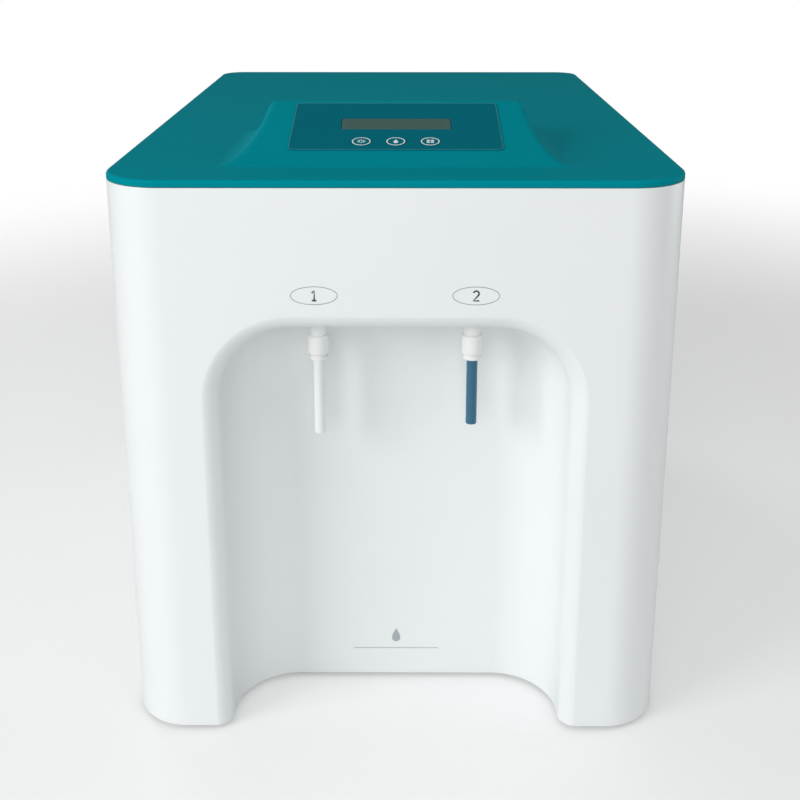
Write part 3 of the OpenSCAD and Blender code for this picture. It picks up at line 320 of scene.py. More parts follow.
FINISHES: dict[str, Finish] = {
    "shell_white": Finish("Satin white moulding", "EFF3F4", 0.34, relief=0.04),
    "panel_white": Finish("White powder coat", "E6E9E9", 0.5, grain=900.0, relief=0.12),
    "base_steel": Finish("Zinc sheet", "A4A8AA", 0.34, 1.0, surface=Surface.BRUSHED, drift=0.12),
    "rubber_black": Finish("Black rubber", "1B1C1D", 0.7, specular=0.3, relief=0.1),
    "screw_steel": Finish("Plated screw", "B9BBBD", 0.26, 1.0, drift=0.08),
    "lid_teal": Finish("Teal moulding", "008894", 0.42, specular=0.006),
    "film_teal": Finish("Dark teal film", "006877", 0.42, specular=0.02, grain=2600.0),
    "display_grey": Finish("Unlit display", "47645F", 0.36, specular=0.1, relief=0.0),
    "board_green": Finish("Green circuit board", "0F5238", 0.4, drift=0.12),
    "fitting_white": Finish("White acetal", "F0F2F1", 0.38),
    "tube_white": Finish("Natural tube", "EDF0EF", 0.3),
    "tube_blue": Finish("Blue tube", "326984", 0.3),
    "black_plastic": Finish("Black moulding", "1A1B1C", 0.42, relief=0.06),
    "pin_metal": Finish("Plated contact", "C3C2BC", 0.24, 1.0),
    "cartridge_white": Finish("White cartridge", "EAECEA", 0.3),
    "cartridge_blue": Finish("Blue cartridge", "3F7CA3", 0.3),
    "reactor_steel": Finish("Polished steel tube", "C6C8CA", 0.2, 1.0, surface=Surface.BRUSHED),
    "motor_metal": Finish("Painted motor can", "888B8D", 0.45, 0.4),
    "supply_metal": Finish("Folded aluminium", "BBBDBE", 0.36, 1.0, surface=Surface.BRUSHED),
}
PRINT_GREY = Finish("Grey print", "7D8387", 0.5, surface=Surface.PLAIN)
PRINT_PALE = Finish("Pale grey print", "A9B1B5", 0.5, surface=Surface.PLAIN)
PRINT_DARK = Finish("Dark print", "3B4345", 0.5, surface=Surface.PLAIN)
PRINT_WHITE = Finish("White print", "E6EEEF", 0.5, surface=Surface.PLAIN)
# Pale teal line along the control film's border: a painted highlight where the film's edge catches the
# light.
PAINTED_EDGE_HIGHLIGHT = Finish("Pale teal painted highlight", "348992", 0.5, surface=Surface.PLAIN)
CELL_GREY = Finish("Display cell", "43605B", 0.36, specular=0.1, surface=Surface.PLAIN)


class GeometryTree:
    """A Geometry Nodes tree with named inputs, which is run to make the mesh of one piece."""

    def __init__(self, name: str) -> None:
        """Starts a tree that takes and gives a geometry.

        Args:
            name: Name of the tree.
        """
        self.tree = bpy.data.node_groups.new(name, "GeometryNodeTree")
        self.entry = add_node(self.tree, "NodeGroupInput")
        self.start = self.value("Geometry", "NodeSocketGeometry")
        self.look = self.value("Material", "NodeSocketMaterial")
        self.tree.interface.new_socket("Geometry", in_out="OUTPUT", socket_type="NodeSocketGeometry")

    def value(self, name: str, kind: str = "NodeSocketFloat") -> bpy.types.NodeSocket:
        """Adds a named input with a type of socket, and gives its socket inside the tree."""
        self.tree.interface.new_socket(name, in_out="INPUT", socket_type=kind)
        return self.entry.outputs[name]

    def node(self, kind: str, inputs: dict[Any, Any], **settings: Any) -> bpy.types.NodeSocket:
        """Adds a node with its inputs fed and its properties set, and gives its first output."""
        return add_node(self.tree, kind, inputs, **settings).outputs[0]

    def maths(self, operation: str, first: Any, second: Any) -> bpy.types.NodeSocket:
        """Adds a sum of two numbers, sockets or values, and gives its result."""
        return self.node("ShaderNodeMath", {0: first, 1: second}, operation=operation)

    def close(self, shape: bpy.types.NodeSocket) -> GeometryTree:
        """Ends the tree with real geometry in the chosen material.

        Args:
            shape: The geometry that the tree has made.

        Returns:
            This tree.
        """
        real = self.node("GeometryNodeRealizeInstances", {"Geometry": shape})
        dressed = self.node("GeometryNodeSetMaterial", {"Geometry": real, "Material": self.look})
        add_node(self.tree, "NodeGroupOutput", {"Geometry": dressed})
        return self

    def run(self, base: bpy.types.Mesh | None = None, **values: Any) -> bpy.types.Mesh:
        """Runs the tree on a mesh.

        Args:
            base: Mesh that the tree starts from, if it needs one.
            **values: A value for each named input, with underscores for spaces.

        Returns:
            The mesh that the tree makes.
        """
        holder = add_object("holder", base or bpy.data.meshes.new("empty"))
        modifier = holder.modifiers.new(self.tree.name, "NODES")
        modifier.node_group = self.tree
        for item in self.tree.interface.items_tree:
            key = item.name.replace(" ", "_").lower()
            if item.item_type == "SOCKET" and item.in_out == "INPUT" and key in values:
                modifier[item.identifier] = values[key]
        return settle(holder)


@cache
def ribbon_tree() -> GeometryTree:
    """Builds a flat ribbon along the edges of a mesh that lies in the XY plane.

    Returns:
        A tree with the inputs Width and Depth.
    """
    made = GeometryTree("Printed line")
    width, depth = made.value("Width"), made.value("Depth")
    path = made.node("GeometryNodeMeshToCurve", {"Mesh": made.start})
    level = made.node("GeometryNodeSetCurveNormal", {"Curve": path}, mode="Z_UP")
    size = {"Width": width, "Height": depth}
    section = made.node("GeometryNodeCurvePrimitiveQuadrilateral", size)
    sweep = {"Curve": level, "Profile Curve": section, "Fill Caps": True}
    return made.close(made.node("GeometryNodeCurveToMesh", sweep))


@cache
def cell_tree() -> GeometryTree:
    """Builds a grid of small flat cells.

    Returns:
        A tree with the inputs Columns, Rows, Pitch X, Pitch Y and Cell.
    """
    made = GeometryTree("Cell grid")
    lines = {}
    for axis, label in (("X", "Columns"), ("Y", "Rows")):
        count = made.value(label, "NodeSocketInt")
        pitch = made.value(f"Pitch {axis}")
        lines[f"Vertices {axis}"] = count
        lines[f"Size {axis}"] = made.maths("MULTIPLY", made.maths("SUBTRACT", count, 1.0), pitch)
    cell = made.value("Cell", "NodeSocketVector")
    grid = made.node("GeometryNodeMeshGrid", lines)
    block = made.node("GeometryNodeMeshCube", {"Size": cell})
    return made.close(made.node("GeometryNodeInstanceOnPoints", {"Points": grid, "Instance": block}))


@cache
def ray_tree() -> GeometryTree:
    """Builds bars that stand around a centre like rays.

    Returns:
        A tree with the inputs Count, Radius and Bar.
    """
    made = GeometryTree("Rays")
    count = made.value("Count", "NodeSocketInt")
    radius = made.value("Radius")
    bar = made.value("Bar", "NodeSocketVector")
    ring = made.node("GeometryNodeMeshCircle", {"Vertices": count, "Radius": radius})
    index = made.node("GeometryNodeInputIndex", {})
    angle = made.maths("MULTIPLY", index, made.maths("DIVIDE", math.tau, count))
    turn = made.node("ShaderNodeCombineXYZ", {"Z": angle})
    spin = made.node("FunctionNodeEulerToRotation", {0: turn})
    block = made.node("GeometryNodeMeshCube", {"Size": bar})
    spread = {"Points": ring, "Instance": block, "Rotation": spin}
    return made.close(made.node("GeometryNodeInstanceOnPoints", spread))


@cache
def screw_tree() -> GeometryTree:
    """Builds a screw head with a cross recess on each vertex of a mesh.

    Returns:
        A tree with the inputs Radius, Height, Slot Width, Slot Depth and Facing.
    """
    made = GeometryTree("Screw heads")
    radius, height = made.value("Radius"), made.value("Height")
    slot_width, slot_depth = made.value("Slot Width"), made.value("Slot Depth")
    facing = made.value("Facing", "NodeSocketVector")
    cone = {
        "Vertices": HEAD_SIDES,
        "Radius Top": made.maths("MULTIPLY", radius, HEAD_TAPER),
        "Radius Bottom": radius,
        "Depth": height,
    }
    dome = made.node("GeometryNodeMeshCone", cone)
    length = made.maths("MULTIPLY", radius, SLOT_LENGTH)
    depth = made.maths("MULTIPLY", slot_depth, 2.0)
    top = made.node("ShaderNodeCombineXYZ", {"Z": height})
    cutters = []
    for x, y in ((length, slot_width), (slot_width, length)):
        size = made.node("ShaderNodeCombineXYZ", {"X": x, "Y": y, "Z": depth})
        block = made.node("GeometryNodeMeshCube", {"Size": size})
        cutters.append(made.node("GeometryNodeTransform", {"Geometry": block, "Translation": top}))
    head = made.node("GeometryNodeMeshBoolean", {0: dome, 1: cutters}, operation="DIFFERENCE")
    turn = made.node("FunctionNodeAlignRotationToVector", {"Vector": facing}, axis="Z")
    spread = {"Points": made.start, "Instance": head, "Rotation": turn}
    return made.close(made.node("GeometryNodeInstanceOnPoints", spread))


def path_mesh(strokes: list[Outline], closed: bool) -> bpy.types.Mesh:
    """Makes a mesh of edges only, in the XY plane.

    Args:
        strokes: Corners of each stroke.
        closed: Whether the last corner of a stroke joins its first.

    Returns:
        The mesh.
    """
    mesh = bpy.data.meshes.new("path")
    spots: list[tuple[float, float, float]] = []
    edges: list[tuple[int, int]] = []
    for stroke in strokes:
        first, count = len(spots), len(stroke)
        spots += [(x, y, 0.0) for x, y in stroke]
        edges += [(first + k, first + (k + 1) % count) for k in range(count if closed else count - 1)]
    mesh.from_pydata(spots, edges, [])
    return mesh


def plate_mesh(points: Outline, depth: float) -> bpy.types.Mesh:
    """Makes a flat plate with the given outline, centred on the XY plane.

    Args:
        points: Corners of the outline, counter-clockwise.
        depth: Thickness of the plate.

    Returns:
        The mesh.
    """
    count = len(points)
    low = [(x, y, -depth / 2) for x, y in points]
    high = [(x, y, depth / 2) for x, y in points]
    sides = [(k, (k + 1) % count, count + (k + 1) % count, count + k) for k in range(count)]
    faces = [tuple(reversed(range(count))), tuple(range(count, 2 * count)), *sides]
    mesh = bpy.data.meshes.new("plate")
    mesh.from_pydata(low + high, [], faces)
    return mesh


def ellipse(width: float, height: float, steps: int = 72) -> Outline:
    """Gives the corners of an ellipse with a whole width and height, counter-clockwise."""
    turns = [math.tau * k / steps for k in range(steps)]
    return [(width / 2 * math.cos(turn), height / 2 * math.sin(turn)) for turn in turns]


def rounded(width: float, height: float, radius: float, steps: int = 6) -> Outline:
    """Gives the corners of a rectangle with round corners.

    Args:
        width: Whole width.
        height: Whole height.
        radius: Radius of its corners.
        steps: Number of steps around each corner.

    Returns:
        The corners, counter-clockwise.
    """
    corners = []
    for quarter, (x, y) in enumerate(((1, 1), (-1, 1), (-1, -1), (1, -1))):
        middle = (x * (width / 2 - radius), y * (height / 2 - radius))
        for k in range(steps + 1):
            turn = math.pi / 2 * (quarter + k / steps)
            corners.append((middle[0] + radius * math.cos(turn), middle[1] + radius * math.sin(turn)))
    return corners


def numeral(number: int, height: float, steps: int = 14) -> list[Outline]:
    """Gives the strokes of the number 1 or 2, centred on the origin.

    Args:
        number: The number.
        height: Its height.
        steps: Number of steps around the bow of the 2.

    Returns:
        The strokes.
    """
    half, bow = height / 2, height * BOW
    if number == 1:
        return [[(x * half, y * half) for x, y in stroke] for stroke in ONE]
    turns = [math.radians(BOW_START_DEGREES - BOW_TURN_DEGREES * k / steps) for k in range(steps + 1)]
    curve = [(bow * math.cos(turn), half - bow + bow * math.sin(turn)) for turn in turns]
    return [[*curve, (-bow, -half), (FOOT * bow, -half)]]


def droplet(height: float, steps: int = 40) -> Outline:
    """Gives the corners of a falling drop, point up.

    Args:
        height: Whole height.
        steps: Number of corners.

    Returns:
        The corners, counter-clockwise.
    """
    corners = []
    for k in range(steps):
        turn = math.tau * k / steps
        x = -DROP_GIRTH * math.sin(turn) * math.sin(turn / 2) ** DROP_POINT
        corners.append((x * height, math.cos(turn) * height / 2))
    return corners


def frame_at(spot: Vector, up: Vector, out: Vector) -> Matrix:
    """Gives the matrix that lays the XY plane on a surface.

    Args:
        spot: Where the origin goes.
        up: Where Y points on the surface.
        out: Where Z points, away from the surface.

    Returns:
        The matrix.
    """
    side = up.cross(out).normalized()
    turn = Matrix((side, up.normalized(), out.normalized())).transposed()
    return Matrix.Translation(spot) @ turn.to_4x4()


@dataclass(frozen=True)
class Face:
    """A flat face of a node.

    Attributes:
        place: Matrix that lays the XY plane on the face, with the origin in its middle.
        width: Reach of the face along X.
        height: Reach of the face along Y.
    """

    place: Matrix
    width: float
    height: float

    def raised(self, height: float) -> Matrix:
        """Gives the place a little above the face."""
        return self.place @ Matrix.Translation((0.0, 0.0, height))


class Workshop:
    """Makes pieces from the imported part.

    Attributes:
        nodes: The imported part's nodes by name.
        joints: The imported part's joints.
    """

    def __init__(self, frame: dict[str, Any]) -> None:
        """Reads the nodes, the joints and the slots.

        Args:
            frame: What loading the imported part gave.
        """
        self.nodes: dict[str, bpy.types.Object] = frame["nodes"]
        self.joints: dict[str, dict[str, Any]] = {j["name"]: j for j in frame["joints"]}
        self._slots = {row["node"]: row["material_slot"] for row in frame["record"]["subparts"]}

    def middle(self, node: str) -> Vector:
        """Gives the middle of a node's box."""
        low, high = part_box(node)
        return (low + high) / 2

    def face(self, node: str, up: Vector, out: Vector) -> Face:
        """Finds the flat face of a node that lies farthest along a direction.

        Args:
            node: Name of the node.
            up: Direction up that face.
            out: Direction away from it.

        Returns:
            The face.
        """
        side = up.cross(out)
        spots = [v.co for v in self.nodes[node].data.vertices]
        reach = max(s.dot(out) for s in spots)
        flat = [s for s in spots if s.dot(out) > reach - FLAT]
        across = sorted(s.dot(side) for s in flat)
        along = sorted(s.dot(up) for s in flat)
        middle = side * (across[0] + across[-1]) / 2 + up * (along[0] + along[-1]) / 2 + out * reach
        return Face(frame_at(middle, up, out), across[-1] - across[0], along[-1] - along[0])

    def probe(self, node: str) -> BVHTree:
        """Gives a tree that finds where a line meets a node.

        Args:
            node: Name of the node.

        Returns:
            The tree.
        """
        mesh = self.nodes[node].data
        spots = [v.co for v in mesh.vertices]
        return BVHTree.FromPolygons(spots, [tuple(p.vertices) for p in mesh.polygons])

    def dress(
        self,
        node: str,
        edge: float = 0.0,
        smooth: float = 34.0,
        shape: Callable[[bmesh.types.BMesh], None] | None = None,
    ) -> None:
        """Stands a clean, softly edged mesh in a node's place.

        Args:
            node: Name of the node.
            edge: Width of the soft edge on sharp corners.
            smooth: Largest angle that is shaded as one surface, in degrees.
            shape: What shapes the merged mesh further, if anything.
        """
        source = self.nodes[node]
        slot = self._slots[node]
        mesh = source.data.copy()
        mesh.materials.clear()
        work = bmesh.new()
        work.from_mesh(mesh)
        bmesh.ops.remove_doubles(work, verts=work.verts, dist=MERGE)
        if shape:
            shape(work)
        limit = math.radians(DISSOLVE_DEGREES)
        bmesh.ops.dissolve_limit(work, angle_limit=limit, verts=work.verts, edges=work.edges)
        work.to_mesh(mesh)
        work.free()
        mesh.shade_smooth()
        mesh.set_sharp_from_angle(angle=math.radians(smooth))
        holder = add_object("holder", mesh)
        if edge:
            soft = holder.modifiers.new("Soft edge", "BEVEL")
            soft.width = edge
            soft.segments = EDGE_SEGMENTS
            soft.limit_method = "ANGLE"
            soft.angle_limit = math.radians(smooth + EDGE_MARGIN_DEGREES)
            soft.use_clamp_overlap = True
        holder.modifiers.new("Even shading", "WEIGHTED_NORMAL").keep_sharp = True
        made = settle(holder)
        piece = self.piece(node + "_look", made, source["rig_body"], FINISHES[slot], slot)
        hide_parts(node)

    def piece(
        self, name: str, mesh: bpy.types.Mesh, body: str, finish: Finish, slot: str
    ) -> bpy.types.Object:
        """Links a mesh as a piece that rides on a body.

        Args:
            name: Name of the piece.
            mesh: Its mesh, already in place.
            body: Body that it moves with.
            finish: Its finish.
            slot: The record's slot for that finish. Not used.

        Returns:
            The piece.
        """
        mesh.name = name
        mesh.materials.clear()
        mesh.materials.append(finish.material())
        made = add_object(name, mesh)
        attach(made, body)
        LOG.info("%s: %d faces on %s", name, len(mesh.polygons), body)
        return made

    def line(
        self, strokes: list[Outline], width: float, depth: float, closed: bool = False
    ) -> bpy.types.Mesh:
        """Makes a printed line of a width and a thickness along strokes in the XY plane."""
        return ribbon_tree().run(path_mesh(strokes, closed), width=width, depth=depth)

    def lay_print_or_highlight(
        self, name: str, mesh: bpy.types.Mesh, place: Matrix, body: str, finish: Finish, slot: str
    ) -> None:
        """Lays a flat mesh, made in the XY plane, on a place of a body as a print or as a painted
        highlight.
        """
        mesh.transform(place)
        self.piece(name, mesh, body, finish, slot)


@dataclass
class SubAssembly:
    """Pieces of the object that are built together.

    Attributes:
        shop: The workshop that makes them.
    """

    shop: Workshop

    def build(self) -> None:
        """Builds the pieces, each sub-assembly in its own way."""
        raise NotImplementedError

    def dress_all(self, edge: float, *nodes: str) -> None:
        """Dresses nodes with the same soft edge."""
        for node in nodes:
            self.shop.dress(node, edge)


@dataclass
class Cabinet(SubAssembly):
    """The moulded shell with its prints, the base and the feet.

    Attributes:
        edge: Soft edge of the shell.
        base_edge: Soft edge of the base plate.
        foot_edge: Soft edge of the feet.
        print_depth: Thickness of a print.
        print_room: How far the front is drawn back for the prints.
        oval_size: Width and height of the oval around an outlet's number.
        oval_height: Height of the ovals above the bench.
        oval_line: Width of the ovals' line.
        number_height: Height of an outlet's number.
        number_line: Width of that number's strokes.
        mark_height: Height of the drop on the bay's back wall above the bench.
        mark_size: Height of that drop and length of the line under it.
        mark_line: Width of that line.
    """

    edge: float = 0.0008
    base_edge: float = 0.0003
    foot_edge: float = 0.0004
    print_depth: float = 0.00008
    print_room: float = 0.00012
    oval_size: tuple[float, float] = (0.0254, 0.0102)
    oval_height: float = 0.277
    oval_line: float = 0.0003
    number_height: float = 0.0056
    number_line: float = 0.0009
    mark_height: float = 0.031
    mark_size: tuple[float, float] = (0.0095, 0.054)
    mark_line: float = 0.00045

    def build(self) -> None:
        """Builds the sub-assembly."""
        self.shop.dress("body_shell", self.edge, shape=self.draw_back)
        self.dress_all(self.base_edge, "base_plate")
        self.dress_all(self.foot_edge, "rubber_feet")
        self.dress_all(0.0, "foot_screws", "base_screws")
        self.outlet_marks()
        self.bay_mark()

    def draw_back(self, work: bmesh.types.BMesh) -> None:
        """Draws the front face back a little, which makes room for the prints.

        Args:
            work: The shell's mesh.
        """
        front = min(v.co.y for v in work.verts) + self.print_room
        for vertex in work.verts:
            vertex.co.y = max(vertex.co.y, front)

    def outlet_marks(self) -> None:
        """Prints a ringed number above each outlet."""
        shop = self.shop
        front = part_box("body_shell")[0].y + self.print_depth
        for k in (1, 2):
            spot = Vector((shop.middle(f"outlet_body_{k}").x, front, self.oval_height))
            place = frame_at(spot, UP, FRONT)
            ring = shop.line([ellipse(*self.oval_size)], self.oval_line, self.print_depth, True)
            shop.lay_print_or_highlight(f"outlet_ring_{k}", ring, place, "cabinet", PRINT_GREY, "display_grey")
            number = shop.line(numeral(k, self.number_height), self.number_line, self.print_depth)
            shop.lay_print_or_highlight(f"outlet_number_{k}", number, place, "cabinet", PRINT_DARK, "display_grey")

    def bay_mark(self) -> None:
        """Prints a drop and a line low on the bay's back wall."""
        shop = self.shop
        height, length = self.mark_size
        start = Vector((0.0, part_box("body_shell")[0].y - length, self.mark_height))
        wall = shop.probe("body_shell").ray_cast(start, REAR)[0]
        spot = wall + FRONT * self.print_depth / 2
        drop = plate_mesh(droplet(height), self.print_depth)
        shop.lay_print_or_highlight("bay_drop", drop, frame_at(spot, UP, FRONT), "cabinet", PRINT_PALE, "display_grey")
        rule = [(-length / 2, 0.0), (length / 2, 0.0)]
        line = shop.line([rule], self.mark_line, self.print_depth)
        place = frame_at(spot - UP * height, UP, FRONT)
        shop.lay_print_or_highlight("bay_line", line, place, "cabinet", PRINT_PALE, "display_grey")


@dataclass
class Lid(SubAssembly):
    """The lid with its raised console, whose edges are softened.

    Attributes:
        soft: Radius over which the console's height is evened out.
        reach: How far past the console the skin is evened out.
        rear_inset: Distance from the rear edge at which the flat top's height is found.
        grid: Spacing of the fine mesh on the console's edges.
        skin: Least thickness of the lid, which tells its outer side from its inner one.
        rings: Number of rings of samples in the radius.
        spokes: Number of samples in the first ring.
        passes: How often the height is evened out.
        smooth: Largest angle that is shaded as one surface, in degrees.
    """

    soft: float = 0.0026
    reach: float = 0.0052
    rear_inset: float = 0.026
    grid: float = 0.0015
    skin: float = 0.001
    rings: int = 4
    spokes: int = 6
    passes: int = 2
    smooth: float = 62.0

    def build(self) -> None:
        """Builds the sub-assembly."""
        self.shop.dress("lid", smooth=self.smooth, shape=self.soften)

    def soften(self, work: bmesh.types.BMesh) -> None:
        """Evens out the height of the console's skin around the film.

        Args:
            work: The lid's mesh.
        """
        probe = self.shop.probe("lid")
        film_low, film_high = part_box("control_film")
        flat = self.height(probe, film_low.x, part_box("lid")[1].y - self.rear_inset)
        raised = [v.co for v in work.verts if v.co.z > flat + FLAT]
        xs = self.stops(min(c.x for c in raised) - self.reach, film_low.x)
        xs += self.stops(film_high.x, max(c.x for c in raised) + self.reach)
        ys = self.stops(min(c.y for c in raised) - self.reach, max(c.y for c in raised) + self.reach)
        self.refine(work, probe, xs, ys)
        bare = []
        for vertex in work.verts:
            x, y, z = vertex.co
            covered = film_low.x <= x <= film_high.x and film_low.y <= y <= film_high.y
            inside = xs[0] < x < xs[-1] and ys[0] < y < ys[-1]
            if inside and not covered and z > self.height(probe, x, y) - self.skin:
                bare.append(vertex)
        offsets = self.offsets()
        for _ in range(self.passes):
            means = []
            for vertex in bare:
                x, y = vertex.co.xy
                means.append(sum(self.height(probe, x + dx, y + dy) for dx, dy in offsets) / len(offsets))
            for vertex, mean in zip(bare, means):
                vertex.co.z = mean
            probe = BVHTree.FromBMesh(work)

    def refine(
        self, work: bmesh.types.BMesh, probe: BVHTree, xs: list[float], ys: list[float]
    ) -> None:
        """Cuts the lid's outer skin along lines of equal X and of equal Y.

        Args:
            work: The lid's mesh.
            probe: Tree that finds the lid's height.
            xs: Where X is cut, the first and the last around the whole part.
            ys: Where Y is cut, likewise.
        """
        for normal, stops in ((RIGHT, xs), (REAR, ys)):
            for at in (stops[0], stops[-1]):
                self.split(work, work.faces[:], normal, at)
        for face in work.faces:
            x, y, z = face.calc_center_median()
            inside = xs[0] < x < xs[-1] and ys[0] < y < ys[-1]
            face.material_index = int(inside and z > self.height(probe, x, y) - self.skin)
        for normal, stops in ((RIGHT, xs), (REAR, ys)):
            for at in stops[1:-1]:
                self.split(work, [f for f in work.faces if f.material_index], normal, at)
        for face in work.faces:
            face.material_index = 0

    @staticmethod
    def split(
        work: bmesh.types.BMesh, faces: list[bmesh.types.BMFace], normal: Vector, at: float
    ) -> None:
        """Cuts faces along a plane.

        Args:
            work: The mesh.
            faces: Its faces that are cut.
            normal: Direction of the plane.
            at: Distance of the plane from the origin.
        """
        edges = {edge for face in faces for edge in face.edges}
        corners = {corner for edge in edges for corner in edge.verts}
        cut = [*faces, *edges, *corners]
        bmesh.ops.bisect_plane(work, geom=cut, dist=MERGE, plane_co=normal * at, plane_no=normal)

    @staticmethod
    def height(probe: BVHTree, x: float, y: float) -> float:
        """Finds the lid's height at a place, or 0 in a hole."""
        hit = probe.ray_cast(Vector((x, y, 1.0)), -UP)[0]
        return hit.z if hit else 0.0

    def stops(self, first: float, last: float) -> list[float]:
        """Spaces cuts evenly from the first to the last, about as far apart as the grid says."""
        count = math.ceil((last - first) / self.grid)
        return [first + (last - first) * k / count for k in range(count + 1)]

    def offsets(self) -> Outline:
        """Spreads samples evenly over a disc.

        Returns:
            The samples' offsets from its centre.
        """
        spread = [(0.0, 0.0)]
        for ring in range(1, self.rings + 1):
            size = 2 * self.soft * ring / self.rings
            spread += ellipse(size, size, self.spokes * ring)
        return spread


@dataclass
class ControlPanel(SubAssembly):
    """The film, the display and the keys on the console.

    Attributes:
        film_edge: Soft edge of the film.
        display_edge: Soft edge of the display.
        key_edge: Soft edge of a key.
        print_depth: Thickness of a print.
        border_inset: Distance from the film's edge of the pale line that paints the edge's highlight.
        border_line: Width of that line.
        border_radius: Corner radius of that line.
        ring_width: Width of the ring on a key.
        ring_inset: How far that ring stays inside the key's edge.
        ray_count: Number of rays in the first key's pictogram.
        ray_radius: Distance of the rays from their centre.
        ray_size: Length and width of a ray.
        drop_height: Height of the drop in the second key's pictogram.
        block_pitch: Pitch of the four blocks in the third key's pictogram.
        block_size: Width of such a block.
        cells: Columns and rows of the display.
        cell_pitch: Pitch of the display's cells.
        cell_size: Width and height of a cell.
    """

    film_edge: float = 0.00015
    display_edge: float = 0.0001
    key_edge: float = 0.0002
    # print_depth: Thickness of a print and of the painted highlight line.
    print_depth: float = 0.00006
    border_inset: float = 0.0004
    border_line: float = 0.0004
    border_radius: float = 0.0026
    ring_width: float = 0.0007
    ring_inset: float = 0.0003
    ray_count: int = 8
    ray_radius: float = 0.001728
    ray_size: tuple[float, float] = (0.001488, 0.000528)
    drop_height: float = 0.00504
    block_pitch: float = 0.0024
    block_size: float = 0.001776
    cells: tuple[int, int] = (16, 2)
    cell_pitch: tuple[float, float] = (0.00355, 0.0062)
    cell_size: tuple[float, float] = (0.00296, 0.00556)

    def build(self) -> None:
        """Builds the sub-assembly."""
        shop = self.shop
        self.dress_all(self.film_edge, "control_film")
        self.dress_all(self.display_edge, "display")
        self.dress_all(0.0, "control_board", "board_screws")
        out = -Vector(shop.joints["key_1_press"]["axis"])
        up = out.cross(RIGHT).normalized()
        self.film_border(shop.face("control_film", up, out))
        self.display_cells(shop.face("display", up, out))
        for k in (1, 2, 3):
            self.dress_all(self.key_edge, f"key_{k}")
            self.key_marks(k, shop.face(f"key_{k}", up, out))

    def film_border(self, face: Face) -> None:
        """Lays a fine pale teal line along the film's border, a painted highlight where the film's edge
        catches the light.

        Args:
            face: Upper side of the film.
        """
        width, height = (size - 2 * self.border_inset for size in (face.width, face.height))
        path = rounded(width, height, self.border_radius)
        line = self.shop.line([path], self.border_line, self.print_depth, True)
        place = face.raised(self.print_depth / 2)
        # The pale line is painted highlight along the film's edge.
        self.shop.lay_print_or_highlight("film_border", line, place, "lid", PAINTED_EDGE_HIGHLIGHT, "film_teal")

    def cell_grid(
        self, count: tuple[int, int], pitch: tuple[float, float], size: tuple[float, float]
    ) -> bpy.types.Mesh:
        """Makes a flat grid from its columns and rows, their pitches and the size of a cell."""
        cell = (*size, self.print_depth)
        return cell_tree().run(
            columns=count[0], rows=count[1], pitch_x=pitch[0], pitch_y=pitch[1], cell=cell
        )

    def display_cells(self, face: Face) -> None:
        """Lays the faint cells of an unlit display.

        Args:
            face: Upper side of the display.
        """
        grid = self.cell_grid(self.cells, self.cell_pitch, self.cell_size)
        place = face.raised(self.print_depth / 2)
        self.shop.lay_print_or_highlight("display_cells", grid, place, "lid", CELL_GREY, "display_grey")

    def key_marks(self, k: int, face: Face) -> None:
        """Prints a ring and a pictogram on a key.

        Args:
            k: Number of the key.
            face: Upper side of the key.
        """
        place = face.raised(self.print_depth / 2)
        size = face.width - 2 * self.ring_inset - self.ring_width
        ring = self.shop.line([ellipse(size, size)], self.ring_width, self.print_depth, True)
        for name, mark in (("key_ring", ring), ("key_icon", self.icon_mesh(k))):
            self.shop.lay_print_or_highlight(f"{name}_{k}", mark, place, f"key_{k}", PRINT_WHITE, "fitting_white")

    def icon_mesh(self, k: int) -> bpy.types.Mesh:
        """Makes a key's pictogram: rays, a drop or a block of four.

        Args:
            k: Number of the key.

        Returns:
            The pictogram in the XY plane.
        """
        if k == 1:
            bar = (*self.ray_size, self.print_depth)
            return ray_tree().run(count=self.ray_count, radius=self.ray_radius, bar=bar)
        if k == 2:
            return plate_mesh(droplet(self.drop_height), self.print_depth)
        pitch, size = self.block_pitch, self.block_size
        return self.cell_grid((2, 2), (pitch, pitch), (size, size))


@dataclass
class Outlets(SubAssembly):
    """The two outlets in the bay's ceiling, with their tubes.

    Attributes:
        edge: Soft edge of the fittings.
        nut_edge: Soft edge of their nuts.
    """

    edge: float = 0.0003
    nut_edge: float = 0.0002

    def build(self) -> None:
        """Builds the sub-assembly."""
        for k in (1, 2):
            self.dress_all(self.edge, f"outlet_body_{k}", f"outlet_collet_{k}", f"outlet_tube_{k}")
        self.dress_all(0.0, "outlet_seals")
        self.dress_all(self.nut_edge, "outlet_nuts")


